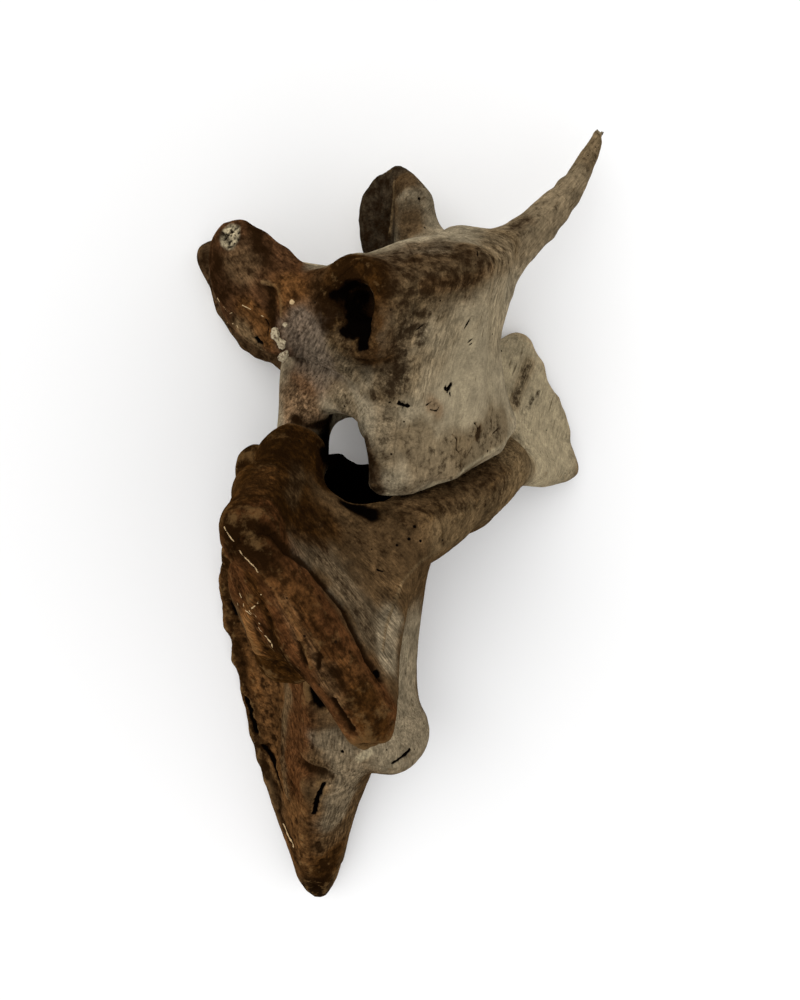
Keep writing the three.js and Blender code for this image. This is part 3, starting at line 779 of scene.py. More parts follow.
# Dried threads and chips on the lumbar vertebra, in the same order; the last row is a painted
# glint
LUMBAR_THREADS_AND_GLINT = (
    (0.09, 0.12, 0.86, 0.3, ((19.1, 23.6, 17.9), (18.9, 23.1, 16.8), (18.8, 22.8, 15.9),
     (18.6, 22.2, 15.1))),
    (0.1, 0.12, 0.86, 0.3, ((19.2, 24.1, 22.4), (19.3, 23.2, 21.9), (19.3, 22.9, 21.2),
     (19.2, 22, 20.8), (19.3, 22.4, 20), (19.2, 21.4, 19.8))),
    (0.1, 0.12, 0.8, 0.3, ((18.1, 20.6, 22.1), (18.5, 21.2, 21.4), (18.7, 20.7, 20.6),
     (18.8, 21.2, 20), (18.7, 20.3, 19.6))),
    # painted glint: a small bright highlight
    (0.36, 0.1, 0.9, 0.3, ((17.8, 24.5, 10.2),)),
)

LUMBAR_SCARS = (
    # Cranial end of the body, brown up to its rim
    scar(((-5.7, 27.7, -6.2), (-13.4, 28.4, -3)), 3.4, Tint.TAN, 0.7, umber=0.42),
    scar(((13, 27, -3.4), (6, 26.6, -5.6), (-1, 27.8, -7)), 3.8, Tint.TAN, 0.8, ragged=0.6,
         umber=0.56),
    scar(((14.3, 29.7, -0.9), (10, 29.1, -1.4), (4, 29.3, -4)), 4.8, Tint.BROWN, 0.6, ragged=0.6,
         umber=0.52),
    scar(((14.6, 26.4, -2.8), (14.8, 28.4, -1)), 1.9, Tint.DARK, 0.75, umber=0.8),
    scar(((12.9, 25.4, -4.2), (8.1, 26.1, -6.2), (3.2, 26.7, -7.3)), 1.5, Tint.TAN, 0.6,
         umber=0.6),
    scar(((16, 28, 3.6), (14.7, 29.5, 3.5)), 2.4, Tint.DARK, 0.8, umber=0.8),
    # Brown run-off from it down the near side of the body
    scar(((11.5, 22.5, -4.1), (13.1, 18.7, -2.4), (12.6, 14.4, -1.6)), 3.1, Tint.TAN, 0.75,
         ragged=0.7, umber=0.6, fibre=0.4),
    scar(((9.8, 22.6, -4.7), (9.9, 19.4, -4)), 1.5, umber=0.6),
    scar(((13.2, 11.5, -0.8), (14.9, 5, -1)), 1.9, Tint.TAN, 0.5, umber=0.4),
    # Broken root of the near transverse process, open, painted black inside as shade
    scar(((16.4, 26.2, 3.4), (16.6, 22, 1.6)), 5.6, Tint.BROWN, 0.95, ragged=0.7, umber=0.62,
         rough=0.75),
    scar(((16.4, 25.6, 5.2), (17.4, 22.2, 4.2)), 1.6, Tint.DARK, 0.8, umber=0.7),
    # painted shade: black inside the open root
    scar(((15.4, 25.4, 1.6), (14.6, 24.2, 1.6), (15.8, 22, 0.6)), 2.0, Tint.DARK, 1.0, depth=-0.4,
         ragged=0.8, black=1.25),
    # Spine, then the near cranial process: a brown lobe in front of it
    scar(((2, 24, 42), (2, 14, 34)), 9.0, Tint.BROWN, 0.9, umber=0.5),
    scar(((18.7, 31, 18.5), (18.6, 24, 15), (18.2, 19, 17)), 7.4, Tint.RUST, 0.95, steep=6.0,
         umber=0.44, fibre=0.3),
    scar(((19, 28.8, 22), (19.2, 25, 21.5)), 2.6, Tint.DARK, 0.6, umber=0.7),
    scar(((16.5, 33.5, 17), (18.2, 29.5, 14)), 1.5, Tint.DARK, 0.6, umber=0.75),
    scar(((18.8, 28.6, 17.6),), 2.4, Tint.TAN, 0.45),
    scar(((18.6, 25.7, 13.3), (18.6, 21.6, 14)), 1.4, Tint.DARK, 0.6, depth=-0.7, ragged=0.2,
         umber=0.55),
    scar(((18.6, 26.8, 14.4), (18.4, 26.4, 12.2), (18.4, 24.6, 11.4), (18.3, 22.7, 11.7)), 0.32,
         Tint.TAN, 0.55, depth=0.3, steep=3.0, ragged=0.5, wear=0.6),
    scar(((19, 22.8, 17.4), (18.7, 20.6, 15.6), (18.6, 19.6, 15)), 1.7, Tint.OCHRE, 0.9,
         umber=0.3),
    scar(((18.9, 21.6, 20.4),), 1.2, Tint.DARK, 0.7, depth=-0.2, umber=0.7),
    scar(((18.5, 19, 16.8), (18.5, 18.4, 16.2)), 0.5, Tint.DARK, 0.8, depth=-0.5, ragged=1.2,
         black=0.95),
    scar(((18.6, 20, 19), (17.9, 17.6, 17.6)), 1.7, Tint.TAN, 0.75),
    scar(((18.8, 32.5, 19.3),), 1.6, Tint.CREAM, 1.0, depth=-0.2, steep=9.0, ragged=0.4,
         spongy=1.0, rough=0.3),
    scar(((17.7, 26.2, 10.6), (17.5, 23, 9.4)), 2.1, Tint.OCHRE, umber=0.3),
    # Grey striped band behind it, and the brown side of the arch
    scar(((17.3, 20.6, 8.6), (16.6, 18, 8.2), (12.9, 14.9, 10.4), (12, 12.8, 13.4)), 3.3,
         Tint.LILAC, 0.9, steep=4.0, fibre=1.0, clean=0.8),
    scar(((16.9, 19.3, 3.4), (13.4, 14.6, 5)), 2.0, Tint.TAN, 0.6, fibre=0.8),
    scar(((12.2, 9.6, 15.6), (12, 6.6, 15.8)), 3.4, Tint.OCHRE, 0.7, fibre=1.0, umber=0.48),
    scar(((12.3, 6, 16.4), (9.7, 4.8, 14.5), (5.4, 4.6, 16.4)), 1.0, Tint.DARK, 0.9, umber=0.8),
    scar(((11.8, 10.8, 8.4), (11.9, 8.9, 6.8)), 2.0, Tint.TAN, 0.6, fibre=0.5, umber=0.3),
    # painted shade: a black patch at the caudal end of the arch
    scar(((7.8, 2.4, 15.4), (7.3, -1, 15.3)), 2.4, Tint.DARK, 0.9, black=0.7),
    # Clean pale middle of the body, with drying cracks and specks
    scar(((6.4, 17.6, -5.2), (6.8, 9, -5)), 5.2, Tint.CREAM, 0.22, steep=4.0, ragged=0.4,
         clean=1.0),
    scar(((0.6, 18, -6.8), (0.4, 6, -6.6)), 5.6, Tint.CREAM, 0.22, steep=4.0, ragged=0.4,
         clean=1.0),
    scar(((-6.4, 20, -5.6), (-7, 5, -5.8)), 4.6, Tint.CREAM, 0.18, steep=4.0, ragged=0.4,
         clean=0.9),
    scar(((12.5, 5.4, -3.4), (9, 3, -5)), 3.4, steep=4.0, ragged=0.4, clean=0.7),
    scar(((8.4, 10.6, -4.4), (7.6, 9.6, -4.8)), 1.0, Tint.OCHRE, 0.5, umber=0.3),
    scar(((0.5, 5.2, -6.8), (0.9, 4, -6.7)), 0.6, Tint.BROWN, 0.8, depth=-0.1, ragged=0.9,
         umber=0.8),
    scar(((4.4, 3.6, -6.2),), 1.9, Tint.TAN, 0.45, depth=0.1, ragged=0.6, umber=0.36),
    scar(((6, 6.2, -5.9), (5, 5, -6), (5.4, 3.6, -6.1), (4.6, 2.4, -6.3), (5.2, 0.9, -6.5)), 0.12,
         Tint.BROWN, 0.8, depth=-0.25, ragged=0.9, black=0.8),
    scar(((1.4, 6.2, -6.6), (0.8, 5.2, -6.7), (2.2, 3, -6.6), (3.4, 2.2, -6.5)), 0.1, Tint.BROWN,
         0.8, depth=-0.2, ragged=0.9, black=0.7),
    scar(((-5, 3.4, -6.2), (-3.4, 3.2, -6.4)), 0.14, depth=-0.15, ragged=0.6, umber=1.0),
    scar(((10, 26.4, -5.4), (4, 26, -6.8), (-1, 27, -7.2)), 0.9, Tint.OCHRE, 0.35, fibre=0.8),
    scar(((11.5, 6, -3.4), (10.5, 3, -4.4), (4, 2.4, -6.4), (-5, 3.4, -6.2)), 3.4, Tint.TAN, 0.65,
         ragged=0.6, umber=0.42),
    scar(((10, 14, -3.6), (6, 20, -5.6)), 3.0, Tint.TAN, 0.35, fibre=0.7, umber=0.2),
    scar(((-4, 24, -7), (-8, 16, -5)), 3.4, Tint.TAN, 0.25, fibre=0.7, umber=0.16),
    scar(((-9, 1.2, -5.4), (-1.9, 0.7, -6.7), (4.9, 0.2, -6.4), (9.9, -0.9, -4.3),
         (14.9, -0.5, -1.5)), 0.4, Tint.CREAM, 0.6, depth=0.12),
    scar(((14, 5.4, 2.5), (15.4, 3, 0.6), (15.9, 0.3, -0.7)), 1.2, Tint.BROWN, 0.8, umber=0.6),
    # Far cranial process: hollow facet painted dark as shade, with a paler side
    # painted shade in the hollow facet
    scar(((-15.5, 34, 21), (-15.1, 28, 22.5)), 6.5, Tint.DARK, 0.9, umber=0.5),
    scar(((-14.2, 35.6, 15.9), (-14.6, 33, 16), (-12.6, 29, 13.5)), 2.4, Tint.OLIVE, 0.9,
         umber=0.4),
    scar(((-15.1, 35.4, 18.6), (-15.1, 33.4, 18.4), (-15.1, 27.6, 19.6)), 0.4, Tint.TAN, 0.7,
         depth=0.25),
    # Far transverse process: tan, streaked along its length
    scar(((-18, 28.5, -1.5), (-32, 32.5, -0.8), (-42, 38.5, -1.5)), 5.0, Tint.TAN, 0.6, fibre=0.3,
         umber=0.3, clean=0.7),
    scar(((-41, 37.4, -1.4), (-46, 41, -1.6)), 2.6, Tint.TAN, 0.6, depth=-0.35, umber=0.4),
    scar(((-17.5, 29.2, -0.8), (-22, 29.9, -0.6)), 1.3, Tint.BROWN, 0.4, ragged=0.8, umber=0.55),
    *fine_scars(Mark.BLACK, LUMBAR_CRACKS),
    *fine_scars(Mark.CHALK_AND_GLINT, LUMBAR_THREADS_AND_GLINT),
)

# Cracks, specks and pores of the sacrum: width, height, strength, raggedness and line
SACRUM_CRACKS = (
    (0.6, -0.5, 1.0, 0.3, ((37.5, -7.6, -10.2),)),
    (0.6, -0.7, 1.2, 0.8, ((1.9, -55.6, 28.9), (1.9, -58.4, 27.4), (1.9, -61.6, 26))),
    (0.5, -0.6, 1.1, 0.3, ((1.9, -64, 24.2), (2, -66.2, 21.6), (2.6, -68.6, 19.8))),
    (0.27, -0.5, 1.2, 0.3, ((10.4, -48, 4.7),)),
    (0.42, -0.9, 1.3, 0.5, ((9.9, -57, 7.2), (9.8, -59.4, 7.9), (9.4, -62.4, 8.3),
     (9, -65.4, 8.5))),
    (0.25, -0.35, 1.0, 0.7, ((6.3, -49.3, -2.6), (4.9, -48.5, -3.5), (3.2, -48, -3.9))),
    (0.27, -0.2, 1.1, 0.3, ((17.5, 0, -3.2),)),
    (0.23, -0.2, 1.1, 0.3, ((19, -1.1, -3.4),)),
    (0.25, -0.2, 1.1, 0.3, ((18, -1.4, -4.6),)),
    (0.22, -0.2, 1.0, 0.3, ((20.5, -1.7, -2.5),)),
    (0.23, -0.2, 1.0, 0.3, ((13.5, -2.8, -5.9),)),
    (0.2, -0.2, 1.0, 0.3, ((25.4, -3, -2.6), (24.9, -3.2, -3.1))),
)

# Dried threads and chips on the sacrum, in the same order
SACRUM_THREADS = (
    (0.1, 0.09, 0.84, 0.7, ((43.3, 6.5, 8.3), (43.8, 5.9, 7), (43.7, 5.4, 6), (43.9, 4.5, 5.4),
     (43.6, 3.8, 4.4), (43.5, 3.1, 3.3))),
    (0.11, 0.1, 0.9, 0.7, ((41.1, -2.4, 7), (41.3, -3.5, 6.5), (40.5, -4.6, 6.5),
     (40.9, -4.7, 5.3), (41.3, -5.4, 4.6), (41.1, -5.3, 3.8))),
    (0.1, 0.1, 0.84, 0.7, ((43.4, 0.2, 2.8), (43, -0.7, 3.5), (42.6, -2, 3.8), (41.3, -4, 5.2),
     (41.3, -4.5, 4.3))),
    (0.11, 0.1, 0.92, 0.7, ((40.4, -6.5, 4.4), (41, -6.6, 3.1), (41.8, -7.1, 2), (41.7, -7.6, 1),
     (41.3, -9.4, 0.8), (38, -14, 2.2))),
    (0.1, 0.09, 0.79, 0.7, ((41.1, -2.4, 7), (40.1, -4.6, 8), (39.8, -5.5, 7.9))),
    (0.3, 0.2, 0.95, 0.3, ((3.4, -77.6, 17), (4.4, -80.4, 14))),
)

SACRUM_SCARS = (
    # Joint face and the bowl below it
    scar(((16.4, 0.8, -0.4), (5, 0.7, -4), (-5.6, 0.4, -5.6)), 6.4, Tint.OLIVE, 0.7, ragged=0.6,
         umber=0.45),
    scar(((14, -2.4, -5.6), (0, -3.4, -7), (-12, -3, -6.8)), 2.6, Tint.TAN, 0.75),
    scar(((-12, 0.3, -5.2), (-22.6, -2.6, -3.8)), 4.2, Tint.TAN, 0.95, fibre=0.4),
    scar(((31, 5, 7), (26.5, 1.2, 4.4), (22, -1, 0)), 4.2, Tint.OLIVE, 0.9, umber=0.4),
    scar(((33, 4.6, 5.6), (28, 2.4, 5.2)), 3.4, Tint.BROWN, 0.8, umber=0.6),
    scar(((25.4, -2.6, -2), (26, -5, -5), (29.6, -6.6, -6.8)), 2.6, Tint.OLIVE, 0.7, fibre=0.6,
         umber=0.2),
    scar(((29, -6.4, -7), (32, -7.3, -8.2), (34.5, -8.2, -9.6)), 1.7, Tint.BONE, 0.6, fibre=0.7),
    # Near articular process and the front of the wing
    scar(((20.5, 7, 14.8), (22, 4.9, 18.1), (31.4, 7.4, 9.1), (40, 8.2, 6.8)), 5.4, Tint.BROWN,
         0.95, steep=4.0, umber=0.62),
    scar(((0.6, -8, 34.6), (1.9, -12, 34.6)), 4.0, Tint.BROWN, 0.9, umber=0.6),
    scar(((17, 5.2, 12.2), (19.5, 2.6, 9.6)), 2.0, Tint.BROWN, 0.8, umber=0.75),
    scar(((24, 5.4, 10.8), (31.9, 5.7, 7.2)), 1.2, Tint.TAN, 0.4),
    scar(((31, 8, 10.9), (37.4, 8.4, 9)), 1.3, Tint.OCHRE, 0.5),
    # Ear-shaped band of the wing: rust brown, with a dark groove beside it
    scar(((41.8, 6.6, 4.4), (42.4, 0.9, -1.5), (42.6, -4.4, -6.5), (42, -11, -13)), 4.3, Tint.RUST,
         0.95, steep=5.0, umber=0.45, rough=0.12),
    scar(((43.1, 2.9, 0.8), (42, 0.4, -2)), 1.4, Tint.OCHRE, 0.55),
    scar(((41.6, -5, -8.2), (41.9, -8.2, -11.6)), 1.3, Tint.OCHRE, 0.4),
    scar(((43.7, 6.4, 5.4), (43.3, 4.5, 3.2)), 2.4, Tint.DARK, 0.75, ragged=0.6, umber=0.7),
    scar(((43.4, 0.1, 0), (43.4, -2.6, -2.6), (43.4, -5.3, -5.5), (43.4, -8.6, -8.4)), 1.0,
         Tint.TAN, 0.4, depth=0.1, ragged=0.6, fibre=1.0),
    scar(((43.3, 1, -1.4), (43.3, -2.4, -4.6), (42.8, -6.8, -9.4)), 1.2, Tint.BROWN, 0.4,
         ragged=0.6, fibre=1.0, umber=0.3),
    scar(((43.5, -3.6, -3), (43.5, -5.8, -3.8)), 0.5, Tint.DARK, 0.8, depth=-0.3, ragged=0.8,
         umber=0.9),
    scar(((43.4, -4.1, -5.2), (43.4, -5.6, -5.5)), 0.35, Tint.DARK, 0.8, depth=-0.3, ragged=0.8,
         umber=0.9),
    scar(((43.3, -5.4, -7.4), (43.3, -6.5, -8.5)), 0.6, Tint.DARK, 0.7, depth=-0.2, ragged=0.8,
         umber=0.8),
    scar(((43.4, -9.2, -7.8), (43.4, -10.7, -9.2), (43.4, -11.6, -10.5)), 0.55, Tint.DARK, 0.9,
         depth=-0.5, ragged=0.8, umber=0.9),
    scar(((42.6, -8.1, -11.4), (42.7, -10.4, -13.2), (42.4, -12.1, -13.2)), 1.6, Tint.BROWN, 0.8,
         ragged=0.6, umber=0.6),
    scar(((41.8, 7.3, 4), (40.4, 5.1, 2.2), (37.6, 2.4, 0.6), (36.6, -0.7, -2.1),
         (36.5, -2.2, -3.9), (37.2, -4, -6.2), (38.2, -6.1, -8.9), (38.2, -7.6, -10.6)), 0.75,
         Tint.DARK, depth=-0.5, umber=0.85),
    scar(((41.8, 5.6, 5.6), (38.6, 4.6, 4.4)), 1.5, Tint.BROWN, 0.8, umber=0.7),
    # Grey rough triangle inside the groove
    scar(((36.2, 2.8, 2.4), (32.6, 0.4, 1.2), (32.2, -3, -3), (34, -5.6, -6.6)), 2.5, Tint.BONE,
         0.2, steep=3.0, ragged=0.6, fibre=0.6, rough=0.3, umber=0.42),
    scar(((31, 1.5, 3), (36, 4.6, 4.6)), 1.6, Tint.BROWN, 0.7, umber=0.6),
    scar(((43.5, 3.1, 3.2), (43.4, 1.8, 1.4), (43.4, -1.6, -2.2), (43.5, -6, -4.5)), 0.45,
         Tint.OCHRE, 0.6, depth=0.25, wear=0.4),
    # Rough tuberosity behind the band
    scar(((41, -0.5, 8), (42, -3.5, 3.5), (41.5, -8, 0.5), (34, -16.5, 6)), 4.8, Tint.RUST, 0.95,
         steep=4.0, umber=0.42, rough=1.0, fibre=0.5),
    scar(((37, -12, 2), (31, -18, 6), (24, -24, 8)), 4.5, Tint.BROWN, 0.95, steep=4.0, umber=0.5,
         rough=0.8),
    scar(((43.3, 7.2, 7.6), (43.9, 5, 7)), 1.8, Tint.DARK, 0.7, umber=0.8),
    scar(((42, -6.4, 1.4), (42.5, -8.4, -2.4)), 1.4, Tint.DARK, 0.6, umber=0.8),
    scar(((38.6, -9, 6.4), (36.6, -13, 6.4)), 1.0, Tint.OCHRE, depth=0.2),
    scar(((42.4, -1.9, 4.8), (39.2, -7.4, 6.9), (36.2, -13.5, 6.7)), 0.9, Tint.OCHRE, 0.8,
         depth=0.35, fibre=1.0),
    scar(((43, 1.6, 4.4), (42.6, -4.4, 1.6), (42.3, -7.5, 0.4), (41, -10.3, 0)), 1.1, Tint.BROWN,
         0.7, depth=-0.3, umber=0.6, fibre=1.0),
    scar(((40.4, -11, 1), (35, -16.4, 3.4)), 2.6, Tint.BROWN, 0.8, depth=-1.4, umber=0.5,
         fibre=0.8),
    # Crest: brown side with dark slots along its edge
    scar(((2.4, -28, 34), (2.2, -40, 32), (2, -52, 26), (4, -62, 19.5), (8, -69, 11.5),
         (6, -80, 11)), 6.6, Tint.OCHRE, 0.7, steep=4.0, umber=0.42, rough=0.6),
    scar(((11.5, -38, 14), (10, -46, 14), (7, -60, 15)), 5.2, Tint.RUST, 0.9, steep=4.0,
         umber=0.36, rough=0.5, fibre=0.6),
    scar(((2, -43, 31.5), (1.9, -48, 28.6), (1.9, -53, 26.4)), 1.2, Tint.OCHRE, 0.8, depth=0.2),
    scar(((8, -44, 17), (5, -54, 19)), 1.8, Tint.TAN, 0.6, fibre=0.8),
    scar(((2.5, -28.8, 35.4), (2.6, -34.3, 34.4), (2.2, -45.6, 31.2), (1.9, -58.2, 27.1),
         (1.9, -70.1, 22.6)), 1.7, Tint.DARK, 0.6, depth=-0.2, ragged=0.7, umber=0.62, rough=0.8),
    scar(((2.3, -36.6, 33), (2.2, -38.2, 32)), 0.7, Tint.DARK, 0.9, depth=-0.5, ragged=0.9,
         black=0.9),
    scar(((2, -63.4, 23.4), (2.4, -65.4, 21.6)), 0.6, Tint.DARK, 0.8, depth=-0.4, ragged=0.9,
         umber=1.0),
    scar(((2.5, -67.8, 20.1), (3.4, -70, 18)), 0.5, Tint.DARK, 0.8, depth=-0.3, ragged=0.9,
         umber=1.0),
    scar(((5, -52, 18.6), (3.6, -60, 18.6), (4.6, -68, 16.4)), 1.3, Tint.TAN, 0.5, depth=0.1,
         ragged=0.7, fibre=1.0),
    scar(((2, -70, 19.8), (2.8, -76.4, 18.2), (4.1, -79.4, 14.8), (4.8, -83, 12.4)), 1.3,
         Tint.DARK, 0.6, rough=1.0, umber=0.6),
    scar(((14.6, -37.9, 9.1), (13.8, -41.4, 9.1), (12.9, -46.1, 9.1), (12.1, -50.8, 8.9),
         (10.4, -56.4, 9.4), (8.4, -69.7, 9), (6.2, -79.5, 8.6)), 0.5, Tint.DARK, 0.35,
         depth=-0.12, ragged=0.9, umber=0.5),
    # Pale body of the second, third and fourth segments
    scar(((-3.6, -34, 1.8), (0.5, -41.7, 0.5), (0, -45.2, -1.7), (4, -46.3, -2.1)), 6.6, Tint.BONE,
         0.7, steep=4.0, fibre=0.4, umber=0.16, clean=0.6),
    scar(((10, -52, 4.6), (6, -58, 3.6), (4, -66, 5), (3, -74, 5.8)), 4.8, Tint.OLIVE, 0.9,
         steep=4.0, fibre=0.9, umber=0.3),
    scar(((11.3, -46, 6.8), (10.2, -49.5, 4.1), (8, -55.1, 3.6), (6.7, -61.7, 5.3), (5.6, -68, 6)),
         2.8, Tint.BONE, 0.4, ragged=0.6, fibre=0.8, umber=0.24, clean=0.5),
    # painted shade: black inside a small deep hole
    scar(((15.4, -34.8, 9.2), (14.4, -36.4, 8.6), (13.4, -38.2, 7.8)), 0.9, Tint.DARK, 1.0,
         depth=-1.2, black=1.3),
    scar(((6.6, -74, 8), (5.8, -76.6, 7.6)), 0.6, depth=-0.3, umber=1.1),
    scar(((4.8, -79.6, 7.4), (4.4, -81.6, 7.2)), 0.6, depth=-0.3, umber=1.1),
    scar(((2.8, -78.2, 6.6), (4, -82.2, 7.1), (2.3, -86, 6.8)), 2.8, Tint.BROWN, umber=0.6,
         rough=0.5),
    scar(((3.3, -86, 9), (3, -91, 9.5)), 2.8, Tint.DARK, 0.9, depth=-0.5, rough=1.0, umber=0.5),
    scar(((4.6, -89.5, 8),), 1.8, depth=-1.2, umber=0.6),
    scar(((-1, -88.5, 7),), 2.6, depth=-1.6, umber=0.6),
    scar(((42.4, -14.6, -12.2),), 1.4, Tint.BROWN, 0.8, depth=-1.5),
    scar(((8.6, -47.4, 1), (9.4, -48.4, 1.8)), 0.7, Tint.CREAM, 0.7),
    scar(((-1, -31.3, 2.2), (-2.4, -36, 1.8)), 0.4, Tint.CREAM, 0.4),
    # Far wing, pale, with brown streaks from rim to root
    scar(((-35, 7, 3.6), (-34, -2, -3), (-30, -7, -6)), 9.5, Tint.CREAM, 0.75, fibre=0.2,
         clean=0.9),
    scar(((-35.6, 6.4, 2.8), (-32, 3.6, 2), (-29, 1.6, 1.6)), 1.2, Tint.TAN, 0.6, umber=0.5,
         fibre=0.9),
    scar(((-35.2, 2.6, -0.2), (-30, 0, 0)), 0.7, umber=0.55, fibre=0.8),
    # Light line along the lower rim of the joint face
    scar(((-22.6, -2.9, -3.8), (-12.6, -5.1, -7), (-6.8, -5.3, -7.2), (-1, -5.3, -7),
         (6.6, -4.5, -6.4), (14, -3.7, -6), (19.5, -3.4, -5.6), (24, -4.5, -5.5),
         (27.7, -5.9, -6.3), (30.9, -6.8, -7.2), (34, -7.4, -8.7)), 0.2, Tint.TAN, 0.6,
         depth=0.15),
    # Canal mouth and the gaps beside it, painted black as shade
    scar(((-2.1, -8.8, 18.2), (-6.5, -11.7, 16.7), (-7.6, -12.4, 12.6)), 6.0, Tint.DARK, 1.0,
         black=1.3),
    scar(((19.6, 0.9, 5.4), (19.4, 0.6, 2.4)), 1.4, Tint.DARK, 0.9, depth=-0.3, black=0.9),
    scar(((2.3, -5.4, 18.3), (16, 4.4, 11.8)), 1.6, Tint.DARK, 0.9, black=0.9),
    *fine_scars(Mark.BLACK, SACRUM_CRACKS),
    *fine_scars(Mark.CHALK_AND_GLINT, SACRUM_THREADS),
)


@dataclass(frozen=True)
class SplinterFinish:
    """Dry cancellous bone: light, chalky and open."""

    name: str = "chalky_splinter"
    dark: str = "#5b4730"
    light: str = "#b7a888"
    roughness: float = 0.8
    grain: Mottle = Mottle(1 / 2.4, 5.0, 0.7, (0.0, 1.0), (0.38, 0.56))

    def make(self) -> bpy.types.Material:
        """Builds the material."""
        material = bpy.data.materials.new(self.name)
        material.use_nodes = True
        weave = Weave(material.node_tree)
        grain = self.grain.noise(weave, weave.place())
        colour = weave.blend(weave.ramp(grain, self.grain.span), self.dark, self.light)
        shader = material.node_tree.nodes["Principled BSDF"]
        material.node_tree.links.new(colour, shader.inputs[0])
        shader.inputs[2].default_value = self.roughness
        return material


@dataclass
class Crumbs:
    """Loose splinters of dry bone that still cling to the surface."""

    name: str = "loose_splinters"
    chips: tuple[tuple[Place, Place], ...] = (
        ((18.6, 20.2, 12.9), (0.62, 0.95, 0.6)),
        ((18.1, 19.0, 12.5), (0.5, 0.8, 0.7)),
        ((17.2, 17.6, 13.1), (0.55, 0.9, 0.85)),
        ((16.4, 16.4, 14.2), (0.5, 0.7, 0.8)),
        ((18.4, 21.6, 11.2), (0.3, 0.34, 0.34)),
    )
    grit: Grit = Grit(11)
    rough: float = 0.4
    lump: float = 1.3
    shrink: float = 0.1

    def build(self) -> Thing:
        """Makes them as one piece on the near side of the arch."""
        work = bmesh.new()
        for spot, half in self.chips:
            made = bmesh.ops.create_icosphere(work, subdivisions=4, radius=1.0)["verts"]
            shape = np.array([vert.co for vert in made])
            lumps = self.grit.rough(shape * 2 + spot, self.lump)[:, None]
            shape *= 1 + self.rough * (lumps - self.shrink)
            for vert, co in zip(made, shape * np.array(half) + np.array(spot)):
                vert.co = co
        work.transform(Matrix.Scale(METRE, 4) @ LUMBAR_PLACE)
        piece = meshed(self.name, work)
        smooth(piece.data)
        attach(piece, "root")
        return piece


@dataclass
class Studio:
    """The floor, the lights and the camera."""

    camera_place: Place = (-34.231, 50.493, 168.528)
    camera_right: Place = (0.97892, 0.05174, 0.1976)
    camera_up: Place = (0.0, 0.96739, -0.25329)
    lens: float = 36.2
    sensor: float = 36.0
    nearest: float = 0.01
    farthest: float = 10.0
    floor_half: float = 1500.0
    floor_tint: str = "#fbfbfb"
    sky: float = 0.8
    lamp_strength: float = 1.3
    lamp_spread: float = 50.0
    lamp_way: Place = (0.55, -0.6, -1.0)

    def floor(self) -> None:
        """Lays the plain pale floor at the bones' lowest level."""
        work = bmesh.new()
        bmesh.ops.create_grid(work, x_segments=1, y_segments=1, size=self.floor_half * METRE)
        floor = meshed("floor", work)
        # Smooth white paper: even and without gloss.
        paper = bpy.data.materials.new("white_paper")
        paper.use_nodes = True
        shader = paper.node_tree.nodes["Principled BSDF"]
        shader.inputs[0].default_value = linear(self.floor_tint)
        shader.inputs[2].default_value = 1.0
        shader.inputs["Specular IOR Level"].default_value = 0.0
        floor.data.materials.append(paper)

    def light(self) -> None:
        """Sets a bright even sky and one wide soft lamp from the upper left."""
        world = bpy.data.worlds.new("sky")
        bpy.context.scene.world = world
        world.use_nodes = True
        back = world.node_tree.nodes["Background"]
        back.inputs[0].default_value = (1.0, 1.0, 1.0, 1.0)
        back.inputs[1].default_value = self.sky
        lamp = bpy.data.lights.new("soft_lamp", "SUN")
        lamp.energy = self.lamp_strength
        lamp.angle = math.radians(self.lamp_spread)
        holder = linked("soft_lamp", lamp)
        holder.rotation_mode = "QUATERNION"
        holder.rotation_quaternion = Vector(self.lamp_way).to_track_quat("-Z", "Y")
        bpy.context.scene.view_settings.view_transform = "Standard"

    def camera(self) -> None:
        """Puts the camera above the bones, in front and to their right."""
        lens = bpy.data.cameras.new("camera")
        lens.lens = self.lens
        lens.sensor_width = self.sensor
        lens.clip_start = self.nearest
        lens.clip_end = self.farthest
        camera = linked("camera", lens)
        right, up = Vector(self.camera_right), Vector(self.camera_up)
        axes = Matrix((right, up, right.cross(up))).transposed()
        camera.matrix_world = Matrix.Translation(Vector(self.camera_place) * METRE) @ axes.to_4x4()
        bpy.context.scene.camera = camera


STAINS = (
    Stain(Mark.UMBER, "#1d1005", 1.3, 1.8, 0.22, 0.85),
    # soil in the hollows, with painted shade there as well
    Stain(Mark.SOIL_AND_SHADE, "#180d04", 0.8, 0.9, 0.3, 0.85),
    Stain(Mark.WEAR, "#8a6a42", 0.6, 1.5, 0.25, 0.3),
    # pale dried threads, and on the lumbar vertebra one painted glint
    Stain(Mark.CHALK_AND_GLINT, "#c2a67c", 0.35, 0.8, 0.14),
    Stain(Mark.BLACK, "#050302", 0.6, 0.6, 0.2),
)

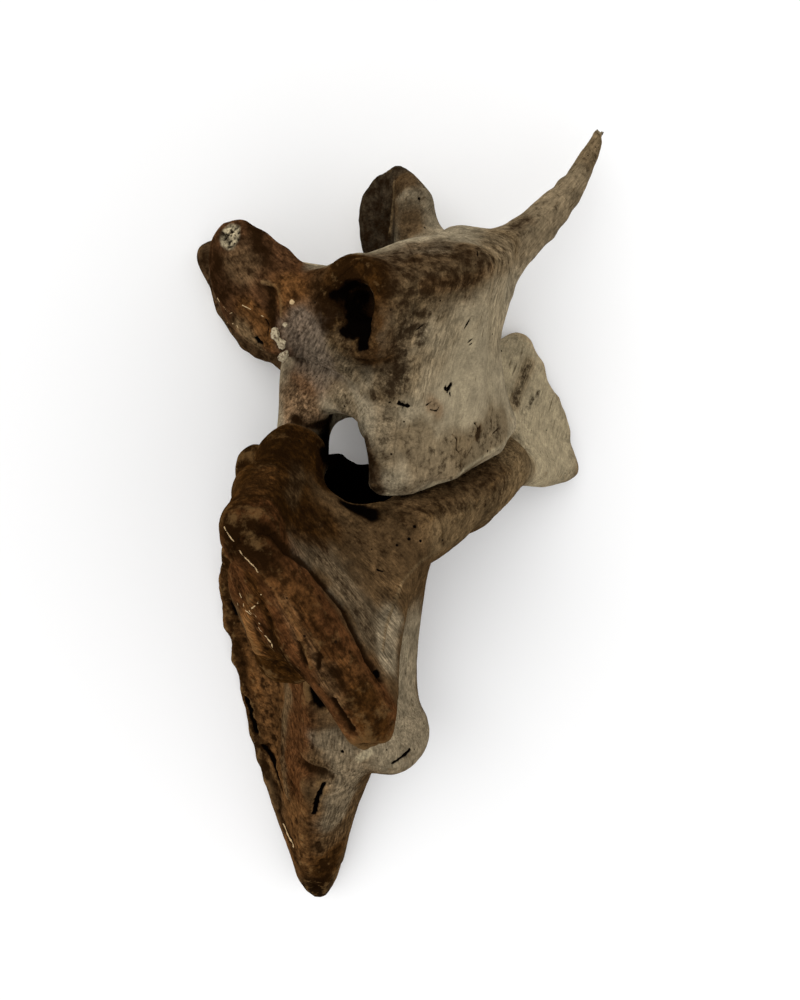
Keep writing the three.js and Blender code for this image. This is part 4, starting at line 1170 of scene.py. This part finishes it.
LUMBAR = BoneSkin(
    "lumbar_bone",
    (
        "spinous_process",
        "left_transverse_process",
        "right_cranial_process",
        "left_cranial_process",
        "vertebral_arch",
        "lumbar_body",
    ),
    LUMBAR_PLACE,
    "pale_bone",
    0.36,
    Tint.BONE,
    LUMBAR_SCARS,
    (
        Fibres((0.0, 12.0, -4.0), (-0.35, 0.93, 0.0)),
        Fibres((-32.0, 33.0, -1.0), (-0.9, 0.42, 0.0)),
        Fibres((14.5, 15.5, 9.5), (0.35, 0.68, -0.64)),
        Fibres((18.5, 26.0, 17.0), (0.1, 0.8, 0.6)),
        Fibres((2.0, 20.0, 38.0), (0.0, 0.3, 1.0)),
    ),
    relax_rounds=260,
    relax_back=0.51,
)

SACRUM = BoneSkin(
    "sacrum_bone",
    (
        "sacral_crest",
        "right_sacral_wing",
        "left_sacral_wing",
        "sacral_segment_4",
        "sacral_segment_3",
        "sacral_segment_2",
        "sacral_segment_1",
    ),
    SACRUM_PLACE,
    "brown_bone",
    0.5,
    Tint.OLIVE,
    SACRUM_SCARS,
    (
        Fibres((5.0, -2.0, -5.0), (0.8, -0.5, 0.3)),
        Fibres((42.0, -3.0, -5.0), (0.0, -0.67, -0.74)),
        Fibres((32.0, -1.0, 0.0), (-0.14, -0.68, -0.72)),
        Fibres((30.0, 6.0, 9.0), (0.7, 0.2, -0.5)),
        Fibres((-33.0, 0.0, -1.0), (0.75, -0.6, -0.2)),
        Fibres((2.0, -45.0, 25.0), (0.0, -0.85, -0.5)),
        Fibres((4.0, -62.0, 6.0), (-0.1, -1.0, 0.1)),
        Fibres((0.0, -38.0, 1.0), (-0.1, -1.0, 0.0)),
    ),
)


def main() -> None:
    """Builds the two bones and the studio, and logs each bone's face count."""
    logging.basicConfig(level=logging.INFO, format="%(message)s")
    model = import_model()
    LUMBAR.build(model).data.materials.append(BoneFinish("weathered_pale_bone", STAINS).make())
    SACRUM.build(model).data.materials.append(BoneFinish("weathered_brown_bone", STAINS).make())
    Crumbs().build().data.materials.append(SplinterFinish().make())
    log.info("splinters on the arch")
    studio = Studio()
    studio.floor()
    studio.light()
    studio.camera()
    log.info("studio: floor, lights and camera")


if __name__ == "__main__":
    main()
